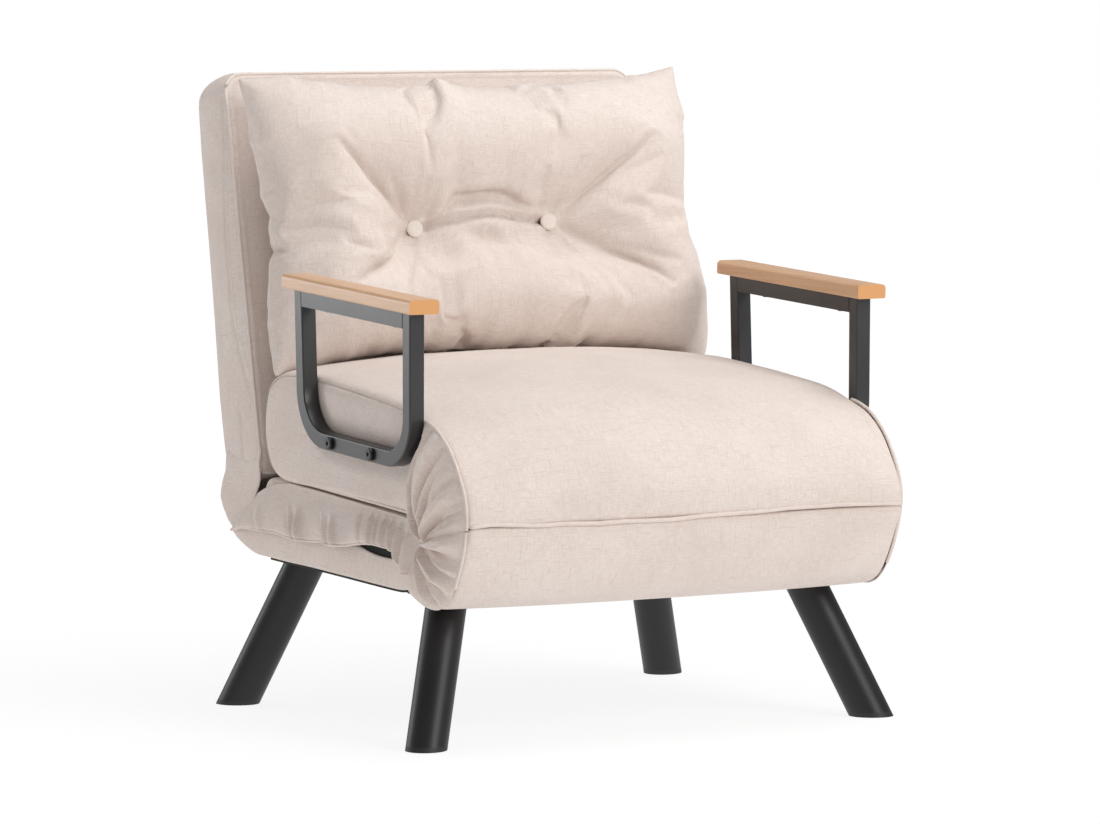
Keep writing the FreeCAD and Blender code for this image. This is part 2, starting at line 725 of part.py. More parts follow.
        outer_face, rail_face = "arm_inner_width / 2 + tube", "%s / 2" % frame_width
        reach = "(%s) - (%s) + tube" % (outer_face, rail_face)
        turn = "0" if sign > 0 else "180"
        for n, bolt in enumerate(bolts, start=1):
            screw = turned("arm_bolt_%s_%d" % (side, n), [
                ("-(%s)" % reach + " - arm_nut_thickness", "0"),
                ("-(%s)" % reach + " - arm_nut_thickness", "arm_bolt_radius"),
                ("0", "arm_bolt_radius"),
                ("0", "arm_bolt_head"),
                ("arm_bolt_head_thickness", "arm_bolt_head", "3"),
                ("arm_bolt_head_thickness", "0"),
            ])
            place = ("%d * (%s)" % (sign, outer_face), bolt, "seat_frame_level")
            fasteners.append(settle(screw, deck, *place, turn=turn, axis="0; 0; 1"))
            sleeve = turned("arm_spacer_%s_%d" % (side, n), [
                ("0", "arm_bolt_radius + bolt_gap"),
                ("arm_inner_width / 2 - (%s)" % rail_face, "arm_bolt_radius + bolt_gap"),
                ("arm_inner_width / 2 - (%s)" % rail_face, "arm_spacer_radius"),
                ("0", "arm_spacer_radius"),
            ])
            place = ("%d * (%s)" % (sign, rail_face), bolt, "seat_frame_level")
            spacers.append(settle(sleeve, deck, *place, turn=turn, axis="0; 0; 1"))
            nut = new_body("arm_nut_%s_%d" % (side, n))
            outline = new_sketch(nut, "YZ_Plane")
            spot = ("arm_nut_radius * cos(%d)", "arm_nut_radius * sin(%d)")
            trace(outline, [(spot[0] % angle, spot[1] % angle) for angle in range(0, 360, 60)])
            ring(outline, "0", "0", "arm_bolt_radius + hole_gap")
            pad(nut, outline, "arm_nut_thickness")
            inside = "%d * (%s - tube - arm_nut_thickness / 2)" % (sign, rail_face)
            nuts.append(settle(nut, deck, inside, bolt, "seat_frame_level"))

        for n, y in enumerate(screw_places, start=1):
            screw = turned("arm_screw_%s_%d" % (side, n), [
                ("0", "0"),
                ("0", "arm_screw_head"),
                ("2", "arm_screw_radius"),
                ("tube + arm_screw_depth - 3", "arm_screw_radius"),
                ("tube + arm_screw_depth - 1", "0"),
            ])
            place = ("%d * (%s)" % (sign, middle), y, wood_low + " - tube - 2")
            wood_screws.append(settle(screw, deck, *place, turn="-90", axis="0; 1; 0"))
    group("arm_bolts", fasteners)
    group("arm_spacers", spacers)
    group("arm_nuts", nuts)
    group("arm_screws", wood_screws)


screw_places = ("arm_loop_front + tube + arm_screw_inset", "arm_loop_rear - tube - arm_screw_inset")


leg_bolt_reach = "leg_plate_length / 2 - leg_bolt_head - 1.5"


# Where a leg's axis meets the top of its plate, as a height and a place across and along the deck
def leg_top(foot_y, inward, sign):
    slope = "tan(deck_pitch)"
    rise = "(%s - front_hinge_y) * %s" % (foot_y, slope)
    level = "front_hinge_height + %s - (base_frame_drop + base_tube) / cos(deck_pitch)" % rise
    height = "((%s) / (1 - %d * leg_splay * %s))" % (level, inward, slope)
    across = "%d * (foot_spread / 2 - leg_splay * %s)" % (sign, height)
    along = "(%s + %d * leg_splay * %s - front_hinge_y)" % (foot_y, inward, height)
    return across, "(%s * cos(deck_pitch) + (%s - front_hinge_height) * sin(deck_pitch))" % (along, height)


# Splayed tube legs, each trimmed level at the floor and along the deck at its plate
def make_legs():
    under = "-base_frame_drop - base_tube"
    reach = "front_hinge_height"
    plates, bolts, caps = [], [], []
    for end, foot_y, inward in (("front", "front_foot_y", 1), ("rear", "rear_foot_y", -1)):
        for side, sign in sides:
            name = "%s_%s" % (end, side)
            low = ("%d * (foot_spread / 2 + leg_splay * leg_radius)" % sign,
                   "%s - %d * leg_splay * leg_radius" % (foot_y, inward), "-leg_radius")
            lean = ("2 * " + reach, "atan(leg_splay * sqrt(2))", "%d; %d; 0" % (-inward, -sign))
            near = ("%d * foot_spread / 2 - %s" % (sign, reach), "%s - %s" % (foot_y, reach))
            far = ("%d * foot_spread / 2 + %s" % (sign, reach), "%s + %s" % (foot_y, reach))
            outer = rod("leg_outer_" + name, floor, "leg_radius", low, *lean)
            inner = rod("leg_bore_" + name, floor, "leg_radius - leg_wall", low, *lean)
            above = block("leg_above_" + name, deck, ("-3 * " + reach, "-" + reach, under + " - leg_plate"),
                          ("3 * " + reach, "4 * " + reach, "3 * " + reach))
            below = block("leg_below_" + name, floor, (*near, "-" + reach), (*far, "cap_height"))
            cut_away("leg_" + name, outer, [inner, above, below])

            parts = []
            for part, radius, top in (("sole", "leg_radius", "cap_height"),
                                      ("plug", "leg_radius - leg_wall - running_gap", "cap_plug")):
                trimmed = document.addObject("Part::Common", "cap_%s_%s" % (part, name))
                trimmed.Base = rod("cap_%s_rod_%s" % (part, name), floor, radius, low, *lean)
                trimmed.Tool = block("cap_%s_clip_%s" % (part, name), floor, (*near, "0"), (*far, top))
                parts.append(trimmed)
            cap = document.addObject("Part::Fuse", "foot_cap_" + name)
            cap.Base, cap.Tool = parts
            caps.append(cap)

            across, along = leg_top(foot_y, inward, sign)
            hole_x = "%d * (base_frame_width - base_tube) / 2" % sign
            flange = new_body("leg_plate_" + name)
            outline = new_sketch(flange, "XY_Plane")
            half_x, half_y = "leg_plate_width / 2", "leg_plate_length / 2"
            trace(outline, [("-" + half_x, "-" + half_y, "8"), (half_x, "-" + half_y, "8"),
                            (half_x, half_y, "8"), ("-" + half_x, half_y, "8")])
            for direction in (-1, 1):
                spot = ("%s - %s" % (hole_x, across), "%d * (%s)" % (direction, leg_bolt_reach))
                ring(outline, *spot, "leg_bolt_radius + bolt_gap")
            pad(flange, outline, "leg_plate")
            plates.append(settle(flange, deck, across, along, under + " - leg_plate / 2"))
            for direction in (-1, 1):
                bolt = turned("leg_bolt_%s_%s" % (name, "a" if direction < 0 else "b"), [
                    ("-leg_bolt_head * 0.7", "0"),
                    ("-leg_bolt_head * 0.7", "leg_bolt_head"),
                    ("0", "leg_bolt_head"),
                    ("0", "leg_bolt_radius"),
                    ("leg_plate + base_tube / 2", "leg_bolt_radius"),
                    ("leg_plate + base_tube / 2", "0"),
                ])
                reach = "%s + %d * (%s)" % (along, direction, leg_bolt_reach)
                place = (hole_x, reach, under + " - leg_plate")
                bolts.append(settle(bolt, deck, *place, turn="-90", axis="0; 1; 0"))
    group("foot_caps", caps)
    group("leg_plates", plates)
    group("leg_bolts", bolts)


# Distances along the deck of the bolts that hold the leg plates under the base rails
def leg_bolt_places():
    places = []
    for foot_y, inward in (("front_foot_y", 1), ("rear_foot_y", -1)):
        along = leg_top(foot_y, inward, 1)[1]
        places += ["%s %s (%s)" % (along, direction, leg_bolt_reach) for direction in "-+"]
    return places


# Room in the pads for the frame that they clasp: its tubes and the slots for hinge plates
def frame_room(name, frame, start, end, level, upright=False):
    wide = "(%s / 2 + running_gap)" % frame_width
    thin = "(tube / 2 + running_gap)"
    low, high = "%s - %s" % (level, thin), "%s + %s" % (level, thin)
    near, far = "%s - running_gap" % start, "%s + running_gap" % end
    inner = "(%s / 2 - tube - running_gap)" % frame_width
    spans = [
        (("-" + wide, near), ("-" + inner, far)),
        ((inner, near), (wide, far)),
        (("-" + inner, near), (inner, "%s + tube + running_gap" % start)),
        (("-" + inner, "%s - tube - running_gap" % end), (inner, far)),
    ]
    rooms = []
    for n, (one, other) in enumerate(spans):
        if upright:
            corners = ((one[0], low, one[1]), (other[0], high, other[1]))
        else:
            corners = ((one[0], one[1], low), (other[0], other[1], high))
        rooms.append(block("%s_room_%d" % (name, n), frame, *corners))
    return rooms


# Slots for the leaves of the front hinges, and a round space for the eyes and pin heads
def hinge_room(name, middle, level, up):
    rooms = []
    span = "(plate + 2 * hinge_pin_head_thickness + 4 * running_gap)"
    for side, sign in sides:
        outline = leaf_outline(level, up, "running_gap")
        slot = plate("%s_slot_%s" % (name, side), outline, "plate + 2 * running_gap")
        rooms.append(settle(slot, deck, "%d * (%s)" % (sign, middle)))
        start = "%d * (%s) - %s" % (sign, moving_face, span)
        spot = (start, "0", "0")
        eye = rod("%s_eye_%s" % (name, side), deck, "hinge_eye + pad_split", spot, "2 * " + span)
        rooms.append(eye)
    return rooms


def seat_top(share):
    return size("seat_side_height") + size("seat_crown") * (1 - share * share)


# Padding of the seat section, split at the level of its frame
def make_seat_pads():
    level, split = size(seat_strap_level), size("pad_split") / 2
    depth, length, low = size("roll_depth"), size("seat_length"), size("soft_gap")
    half, shoulder = size("seat_width") / 2, size("seat_shoulder")
    upper, lower = [], []
    for across, drawn in stations(size("seat_width"), size("edge_inset")):
        top = seat_top(abs(across) / half) - drawn
        floor_z, front, rear = level + split, size("seam_set_back") + drawn, length - drawn
        roll_top = top - shoulder * 0.875
        upper.append(section(
            across, (front, floor_z),
            ((front + depth * 0.24, floor_z + (roll_top - floor_z) * 0.55), (depth + drawn, roll_top)),
            (((depth + length) / 2 - shoulder, top), (length - shoulder * 3, top - shoulder / 8)),
            ((rear - shoulder * 0.8, top - shoulder), (rear, level + shoulder * 0.6)),
            ((rear - shoulder / 12, floor_z),),
            ((front, floor_z),),
        ))
        lower.append(section(
            across, (front, level - split),
            ((front - shoulder / 24, level * 0.4), (front, shoulder / 6)),
            ((front + shoulder / 6, low),),
            ((rear - shoulder * 1.375, low),),
            ((rear - shoulder * 0.46, level * 0.4), (rear - shoulder / 12, level - split)),
            ((front, level - split),),
        ))
    rooms = {
        "seat_cushion": (upper, "seat_frame_level"),
        "bed_pad": (lower, "0"),
    }
    for label, (sections, start) in rooms.items():
        base = soft_form(label + "_form", sections, deck)
        tools = frame_room(label, deck, "seat_frame_start", "seat_frame_end", "seat_frame_level")
        tools += hinge_room(label, leaf_middle, "seat_frame_level", 1)
        for side, sign in sides:
            inner, outer = "(%s / 2 - tube - arm_nut_thickness - 1)" % frame_width, "(seat_width / 2 + 1)"
            for bolt in ("arm_bolt_front", "arm_bolt_rear"):
                spot = (inner if sign > 0 else "-" + outer, bolt, "seat_frame_level")
                name = "%s_%s_%s_room" % (label, bolt, side)
                length = "%s - %s" % (outer, inner)
                tools.append(rod(name, deck, "arm_spacer_radius + running_gap", spot, length))
        cut_away(label, base, tools)


# Padding of the base section with its rolled front lip
def make_base_pad():
    sections = []
    length, bottom = size("base_pad_length"), size("base_lip_bottom")
    above = size("base_frame_drop - strap_thickness - soft_gap")
    lip_end = size("base_frame_start - soft_gap")
    for across, drawn in stations(size("base_pad_width"), size("edge_inset") / 2):
        rear = length - drawn
        front = size("seam_set_back") + drawn
        sections.append(section(
            across, (front + 3, -0.5),
            ((front, -4),),
            ((front + 12, -bottom * 0.46), (front + 34, -bottom)),
            ((lip_end, -bottom),),
            ((lip_end, -above),),
            ((rear, -above),),
            ((rear, -12),),
            ((rear - 4, -4), (rear - 12, -0.5)),
            ((front + 3, -0.5),),
        ))
    base = soft_form("base_pad_form", sections, deck)
    tools = hinge_room("base_pad", bracket_middle, base_leaf_level, -1)
    inner = "(%s - pivot_head_thickness - running_gap)" % base_face
    outer = "(%s + 2 * plate + pivot_head_thickness + 3 * running_gap)" % base_face
    for side, sign in sides:
        one, other = (inner, outer) if sign > 0 else ("-" + outer, "-" + inner)
        near = (one, "recline_pivot_y - bracket_length - running_gap", "-base_lip_bottom")
        far = (other, "base_pad_length + 1", "bracket_eye - recline_pivot_drop + running_gap")
        tools.append(block("base_pad_bracket_" + side, deck, near, far))
    cut_away("base_pad", base, tools)


# Cloth strips that close the base at its sides and rear, and the dust cover under it
def make_base_covers():
    half, thick = "cover_width / 2", "cover_thickness"
    start = "base_frame_start - soft_gap"
    for side, sign in sides:
        inner, outer = "%s - %s" % (half, thick), half
        one, other = (inner, outer) if sign > 0 else ("-(%s)" % outer, "-(%s)" % inner)
        near, far = (one, start, "-cover_bottom"), (other, "cover_end - %s" % thick, "-cover_drop")
        keep(block("base_cover_" + side, deck, near, far), "base_cover_" + side)
    near = ("-" + half, "cover_end - " + thick, "-cover_bottom")
    far = (half, "cover_end", "-cover_drop - " + thick)
    keep(block("base_cover_rear", deck, near, far), "base_cover_rear")
    inner = "(%s - %s)" % (half, thick)
    sheet_box = block("dust_cover_sheet", deck, ("-" + inner, start, "-cover_bottom"),
                      (inner, "cover_end - " + thick, "-cover_bottom + dust_thickness"))
    tools = []
    for foot_y, inward in (("front_foot_y", 1), ("rear_foot_y", -1)):
        for side, sign in sides:
            across, along = leg_top(foot_y, inward, sign)
            reach_x, reach_y = "(leg_plate_width / 2 + soft_gap)", "(leg_plate_length / 2 + soft_gap)"
            near = ("%s - %s" % (across, reach_x), "%s - %s" % (along, reach_y), "-cover_bottom - 1")
            far = ("%s + %s" % (across, reach_x), "%s + %s" % (along, reach_y), "-cover_bottom + leg_plate")
            tools.append(block("dust_cover_hole_%s_%s" % (foot_y, side), deck, near, far))
    cut_away("dust_cover", sheet_box, tools)


# Gathered cloth flaps at the sides of the base, folds growing towards the hem
def make_side_flaps():
    count = int(size("flap_folds"))
    first, last = size("flap_start"), size("flap_end")
    inner = size("cover_width / 2 + running_gap")
    outer = inner + size("flap_thickness")
    step = (last - first) / count
    for side, sign in sides:
        sections = []
        levels = (("-flap_bottom", 1.0), ("-(flap_bottom + flap_top) / 2", 0.7), ("-flap_top", 0.3))
        for level, fold in levels:
            height, bulge = size(level), size("flap_fold") * fold
            edges = []
            for n in range(count):
                ends = [vector(sign * outer, first + step * k, height) for k in (n, n + 1)]
                via = vector(sign * (outer + bulge), first + step * (n + 0.5), height)
                edges.append(Part.Arc(ends[0], via, ends[1]).toShape())
            corners = [vector(sign * outer, last, height), vector(sign * inner, last, height),
                       vector(sign * inner, first, height), vector(sign * outer, first, height)]
            edges += [Part.LineSegment(a, b).toShape() for a, b in zip(corners, corners[1:])]
            sections.append(Part.Wire(edges))
        flap = soft_form("side_flap_" + side, sections, deck)
        keep(flap, "side_flap_" + side)


# Padding of the backrest, a front and a rear pad that clasp its frame
def make_back_pads():
    width, corner = size("back_width"), size("back_corner")
    begin, end = size("back_start"), size("back_end")
    front, rear, thin = size("back_front"), size("back_rear"), size("back_top_thickness - back_front")
    gap, edge, swell = size("pad_split") / 2, size("back_edge"), size("back_swell")
    half = width / 2
    places = [(half, corner * 0.82, 3.0)]
    for angle, drawn in ((75, 1.0), (50, 0.0), (25, 0.0), (0, 0.0)):
        turn = math.radians(angle)
        places.append((half - corner + corner * math.sin(turn), corner * (1 - math.cos(turn)), drawn))
    places += [(half * 0.4, 0.0, 0.0), (0.0, 0.0, 0.0)]
    mirrored = [(-across, drop, drawn) for across, drop, drawn in places]
    places = mirrored + places[-2::-1]
    front_sections, rear_sections = [], []
    for across, drop, drawn in places:
        top = end - drop
        face = front - drawn
        front_sections.append(section(
            across, (-gap, begin),
            ((-gap, top),),
            ((-face + edge, top),),
            ((-face + edge * 0.3, top - edge * 0.3), (-face, top - edge)),
            ((-face - swell, (top + begin) / 2), (-face, begin + edge * 0.6)),
            ((-face + edge * 0.18, begin + edge * 0.18), (-face + edge * 0.6, begin)),
            ((-gap, begin),),
        ))
        depth = rear - drawn
        rear_sections.append(section(
            across, (gap, begin),
            ((depth - edge * 0.9, begin),),
            ((depth - edge * 0.45, begin + edge * 0.45), (depth - edge * 0.3, begin + edge * 1.25)),
            ((depth + swell * 0.7, begin + (top - begin) * 0.34), (thin - drawn, top - edge * 1.5)),
            ((thin - edge * 0.56 - drawn, top - edge * 0.45), (thin - edge * 1.5, top)),
            ((gap, top),),
            ((gap, begin),),
        ))
    for label, sections in (("back_cushion", front_sections), ("back_rear_pad", rear_sections)):
        base = soft_form(label + "_form", sections, back)
        tools = frame_room(label, back, "back_frame_start", "back_frame_end", "0", upright=True)
        reach = "(recline_arm_width / 2 + running_gap)"
        for side, sign in sides:
            inner, outer = moving_face + " - running_gap", moving_face + " + plate + running_gap"
            one, other = (inner, outer) if sign > 0 else ("-(%s)" % outer, "-(%s)" % inner)
            tools.append(block("%s_arm_slot_%s" % (label, side), back, (one, "-" + reach, "0"),
                               (other, reach, "recline_arm_length + running_gap")))
        cut_away(label, base, tools)


# Loose pillow: crowned, drawn in between its corners, two tufts joined by a crease
def make_pillow():
    width, height = size("pillow_width"), size("pillow_height")
    seam, fat, low = -size("pillow_seam"), size("pillow_half"), size("pillow_start")
    edge, draw, crown = size("pillow_seam_edge") / 2, size("pillow_draw"), size("seat_crown")
    half, tuft = width / 2, size("tuft_spacing / pillow_width")
    places = [(0.0, 0.6), (0.16, 0.66), (tuft, 1.0), (0.48, 0.56), (0.63, 0.22), (0.77, 0.06),
              (0.88, 0.0), (0.96, 0.0), (1.0, 0.0)]
    places = [(-share, crease) for share, crease in reversed(places[1:])] + places
    sections = []
    for place, crease in places:
        share = abs(place)
        swell = max(fat * (1 - share ** 3) ** 0.6, edge * 2)
        bottom = low + crown * (1 - share * share)
        top = low + height - draw * (1 - share * share)
        middle, span = (top + bottom) / 2, top - bottom
        pinch = min(size("tuft_depth") * crease, swell * 0.7)
        lobe = swell * (0.9 + 0.1 * crease)
        sections.append(section(
            place * half, (seam - edge, bottom),
            ((seam - lobe, bottom + span * 0.27), (seam - swell + pinch, middle)),
            ((seam - lobe, top - span * 0.27), (seam - edge, top)),
            ((seam + edge, top),),
            ((seam + swell, middle), (seam + edge, bottom)),
            ((seam - edge, bottom),),
        ))
    base = soft_form("pillow_form", sections, back)
    bow = "(pillow_height * pillow_height / (8 * pillow_draw))"
    level = "pillow_start + (pillow_height + seat_crown - pillow_draw) / 2"
    tuft_front = "(-pillow_seam - pillow_half + tuft_depth)"
    tools, buttons = [], []
    for side, sign in sides:
        across = "%d * (pillow_width / 2 - pillow_draw + %s)" % (sign, bow)
        spot = (across, "-pillow_seam - pillow_half * 2", "pillow_start + pillow_height / 2")
        tools.append(rod("pillow_side_" + side, back, bow, spot, "4 * pillow_half", "-90", "1; 0; 0"))
        spot = ("%d * tuft_spacing / 2" % sign, tuft_front + " + button_seat", level)
        name = "pillow_tuft_" + side
        tools.append(rod(name, back, "button_radius + running_gap", spot, "pillow_half", "90", "1; 0; 0"))
        button = new_body("pillow_button_" + side)
        outline = new_sketch(button, "XZ_Plane")
        ring(outline, "0", "0", "button_radius")
        pad(button, outline, "button_thickness")
        crown_of_button = tuft_front + " + button_seat - running_gap - button_thickness / 2"
        buttons.append(settle(button, back, "%d * tuft_spacing / 2" % sign, crown_of_button, level))
    cut_away("pillow", base, tools)
    group("pillow_buttons", buttons)


make_base_frame()
make_seat_frame()
make_back_frame()
make_webbing()
make_recline_hinges()
make_front_hinges()
make_arms()
make_legs()
make_seat_pads()
make_base_pad()
make_base_covers()
make_side_flaps()
make_back_pads()
make_pillow()
document.recompute()

for thing in document.Objects:
    assert not {"Invalid", "Error"} & set(thing.State), thing.Name
for label, thing in nodes.items():
    assert not thing.Shape.isNull() and thing.Shape.isValid(), label
for label, thing in nodes.items():
    thing.Shape.exportStep("parts/%s.step" % label)

whole = FreeCAD.BoundBox()
for thing in nodes.values():
    whole.add(thing.Shape.BoundBox)
print("%d sub-parts" % len(nodes))
print("X %.1f %.1f" % (whole.XMin, whole.XMax))
print("Y %.1f %.1f" % (whole.YMin, whole.YMax))
print("Z %.1f %.1f" % (whole.ZMin, whole.ZMax))
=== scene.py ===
import math

import bmesh
import bpy
import numpy as np
from mathutils import Matrix, Vector, noise


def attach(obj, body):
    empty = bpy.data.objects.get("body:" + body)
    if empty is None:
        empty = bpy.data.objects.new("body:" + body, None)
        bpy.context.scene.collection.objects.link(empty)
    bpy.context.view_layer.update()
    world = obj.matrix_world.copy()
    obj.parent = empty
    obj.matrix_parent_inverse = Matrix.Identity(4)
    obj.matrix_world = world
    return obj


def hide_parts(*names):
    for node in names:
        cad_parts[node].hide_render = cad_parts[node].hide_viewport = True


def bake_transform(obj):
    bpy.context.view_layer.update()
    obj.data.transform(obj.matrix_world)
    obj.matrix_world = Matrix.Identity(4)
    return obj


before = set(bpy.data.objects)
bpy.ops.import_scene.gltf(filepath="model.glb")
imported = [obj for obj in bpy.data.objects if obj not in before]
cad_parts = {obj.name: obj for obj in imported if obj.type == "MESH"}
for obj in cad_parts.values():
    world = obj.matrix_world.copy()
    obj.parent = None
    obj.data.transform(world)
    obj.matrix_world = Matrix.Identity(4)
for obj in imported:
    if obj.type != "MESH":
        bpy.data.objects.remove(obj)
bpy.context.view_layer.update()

bpy.ops.object.select_all(action="DESELECT")
print("frame loaded:", len(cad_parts), "nodes")

# The chair's own frames, as in the part: the pitched deck from the front seam, the leaning back
stance = {
    "hinge": (0, -0.356, 0.266),
    "pitch": 3.0,
    "pivot": (0, 0.586, -0.0467),
    "lean": 14.1,
}
deck = Matrix.Translation(stance["hinge"]) @ Matrix.Rotation(math.radians(stance["pitch"]), 4, "X")
back = deck @ Matrix.Translation(stance["pivot"]) @ Matrix.Rotation(-math.radians(stance["lean"]), 4, "X")


def inRoom(points, place):
    grid = np.asarray(points, float) / 1000  # millimetres in, metres out
    m = np.array(place)
    return grid @ m[:3, :3].T + m[:3, 3]


def leaning(x, forward, up):
    return np.stack([x, -forward, up], axis=-1)  # back frame: forward is towards the sitter


def ease(t):
    t = np.clip(t, 0, 1)
    return t * t * (3 - 2 * t)


# A smooth line through the points, with so many steps to each stretch
def through(points, counts, closed=True):
    pts = np.asarray(points, float)
    n = len(pts)
    out = []
    for i in range(n if closed else n - 1):
        p = [pts[(i + k) % n if closed else min(max(i + k, 0), n - 1)] for k in (-1, 0, 1, 2)]
        knots = [0.0]
        for a, b in zip(p, p[1:]):
            knots.append(knots[-1] + max(np.linalg.norm(b - a), 1e-6) ** 0.5)
        t0, t1, t2, t3 = knots
        for t in np.linspace(t1, t2, counts[i], endpoint=False):
            a1 = (t1 - t) / (t1 - t0) * p[0] + (t - t0) / (t1 - t0) * p[1]
            a2 = (t2 - t) / (t2 - t1) * p[1] + (t - t1) / (t2 - t1) * p[2]
            a3 = (t3 - t) / (t3 - t2) * p[2] + (t - t2) / (t3 - t2) * p[3]
            b1 = (t2 - t) / (t2 - t0) * a1 + (t - t0) / (t2 - t0) * a2
            b2 = (t3 - t) / (t3 - t1) * a2 + (t - t1) / (t3 - t1) * a3
            out.append((t2 - t) / (t2 - t1) * b1 + (t - t1) / (t2 - t1) * b2)
    if not closed:
        out.append(pts[-1])
    return np.array(out)


def stepsFor(points, spacing, closed=True):
    pts = np.asarray(points, float)
    ends = np.roll(pts, -1, axis=0) if closed else pts[1:]
    return [max(2, int(round(np.linalg.norm(b - a) / spacing))) for a, b in zip(pts, ends)]


def runLength(line):
    steps = np.linalg.norm(np.diff(line, axis=0), axis=1)
    return np.concatenate([[0], np.cumsum(steps)])


# The smooth line through the spots, as so many places at even distances
def evenly(spots, spacing, count):
    line = through(spots, stepsFor(spots, spacing, closed=False), closed=False)
    run = runLength(line)
    at = np.linspace(0, 1, count) * run[-1]
    return np.column_stack([np.interp(at, run, line[:, k]) for k in (0, 1)])


def outward(loop):
    tangent = np.roll(loop, -1, axis=0) - np.roll(loop, 1, axis=0)
    normal = np.stack([tangent[:, 1], -tangent[:, 0]], axis=1)
    normal /= np.linalg.norm(normal, axis=1, keepdims=True) + 1e-9
    area = 0.5 * np.sum(loop[:, 0] * np.roll(loop[:, 1], -1) - np.roll(loop[:, 0], -1) * loop[:, 1])
    return normal if area > 0 else -normal


# Slow unevenness of a surface, in millimetres, from a fixed noise
def sway(points, size, height, phase=0.0):
    return np.array([noise.noise(Vector((x / size + phase, y / size, z / size))) for x, y,
                     z in points]) * height


def flatSway(flat, size, height, phase=0.0):
    return sway(np.column_stack([flat, flat[:, 0] * 0]), size, height, phase)


# A panel is a grid of places with their cloth positions; it may close on itself across
def panel(rows, weave, wraps=False, place=deck):
    return inRoom(np.array(rows), place), np.array(weave), wraps


# Panels are sewn where their edges meet
def sewn(name, panels, weld=0.0003):
    verts, faces, cloth = [], [], []
    for places, weave, wraps in panels:
        rows, cols = places.shape[:2]
        base = len(verts)
        verts.extend(map(tuple, places.reshape(-1, 3)))
        for r in range(rows - 1):
            for c in range(cols if wraps else cols - 1):
                here, beside = base + r * cols + c, base + r * cols + (c + 1) % cols
                faces.append((here, beside, beside + cols, here + cols))
                cloth.extend([weave[r, c], weave[r, c + 1], weave[r + 1, c + 1], weave[r + 1, c]])
    mesh = bpy.data.meshes.new(name)
    mesh.from_pydata(verts, [], faces)
    layer = mesh.uv_layers.new(name="cloth")
    layer.data.foreach_set("uv", np.array(cloth, np.float32).ravel())
    mesh.update()
    piece = bpy.data.objects.new(name, mesh)
    bpy.context.scene.collection.objects.link(piece)
    work = bmesh.new()
    work.from_mesh(mesh)
    bmesh.ops.remove_doubles(work, verts=work.verts, dist=weld)
    bmesh.ops.dissolve_degenerate(work, edges=work.edges, dist=0.00002)
    bmesh.ops.recalc_face_normals(work, faces=work.faces)
    work.to_mesh(mesh)
    work.free()
    mesh.polygons.foreach_set("use_smooth", [True] * len(mesh.polygons))
    return piece


def inHand(piece):
    bpy.ops.object.select_all(action="DESELECT")
    piece.select_set(True)
    bpy.context.view_layer.objects.active = piece


def thicken(piece, amount):
    inHand(piece)
    wall = piece.modifiers.new("wall", "SOLIDIFY")
    wall.thickness, wall.offset = amount, 0
    bpy.ops.object.modifier_apply(modifier="wall")
    piece.data.polygons.foreach_set("use_smooth", [True] * len(piece.data.polygons))


# A sheet of cloth in its thickness, with the area that it had before
def hung(name, panels, thickness, finish, body=None, weld=0.0003):
    piece = sewn(name, panels, weld)
    area = sum(face.area for face in piece.data.polygons)
    thicken(piece, thickness)
    dressed(piece, finish, body)
    return piece, area


# A round welt along a line, as a panel: its own roll of cloth
def weltPanel(line, radius, closed=False, sides=8):
    line = np.asarray(line, float)
    if closed:
        tangent = np.roll(line, -1, axis=0) - np.roll(line, 1, axis=0)
    else:
        tangent = np.gradient(line, axis=0)
    tangent /= np.linalg.norm(tangent, axis=1, keepdims=True)
    side = np.cross(tangent, (0.31, 0.17, 0.93))
    side /= np.linalg.norm(side, axis=1, keepdims=True)
    other = np.cross(tangent, side)
    around = np.linspace(0, 2 * math.pi, sides, endpoint=False)
    places = np.stack([line + (side * math.cos(a) + other * math.sin(a)) * radius for a in around])
    run = runLength(line)
    if closed:
        places = np.concatenate([places, places[:, :1]], axis=1)
        run = np.append(run, run[-1] + np.linalg.norm(line[0] - line[-1]))
    places = places.transpose(1, 0, 2)
    weave = np.zeros((places.shape[0], sides + 1, 2))
    weave[:, :, 0] = run[:, None]
    weave[:, :, 1] = np.arange(sides + 1)[None, :] * radius * 2 * math.pi / sides
    return places, weave, True


# ---- finishes
# Gives a node's inputs their values, or links them where a socket is given
def fed(tree, node, inputs):
    for key, value in inputs.items():
        if isinstance(value, bpy.types.NodeSocket):
            tree.links.new(value, node.inputs[key])
        else:
            node.inputs[key].default_value = value
    return node


def added(tree, kind, inputs=None):
    return fed(tree, tree.nodes.new(kind), inputs or {})


# Two colours or sockets, mixed by the amount
def colours(tree, low, high, amount):
    mix = tree.nodes.new("ShaderNodeMix")
    mix.data_type = "RGBA"
    low, high = [(*colour, 1) if isinstance(colour, tuple) else colour for colour in (low, high)]
    return fed(tree, mix, {0: amount, 6: low, 7: high}).outputs[2]


# Noise drawn out along the axes
def stretched(tree, source, scale, detail=2.0, roughness=0.5):
    place = added(tree, "ShaderNodeMapping", {"Scale": scale, "Vector": source}).outputs["Vector"]
    grain = {"Scale": 1.0, "Detail": detail, "Roughness": roughness, "Vector": place}
    return added(tree, "ShaderNodeTexNoise", grain).outputs["Fac"]


def sums(tree, kind, a, b):
    node = tree.nodes.new("ShaderNodeMath")
    node.operation = kind
    return fed(tree, node, {0: a, 1: b}).outputs[0]


def spread(tree, source, low, high):
    limits = {"From Min": low, "From Max": high, "Value": source}
    return added(tree, "ShaderNodeMapRange", limits).outputs["Result"]


def bumped(tree, shader, height, distance, strength):
    bump = added(tree, "ShaderNodeBump", {"Distance": distance, "Strength": strength, "Height": height})
    fed(tree, shader, {"Normal": bump.outputs["Normal"]})


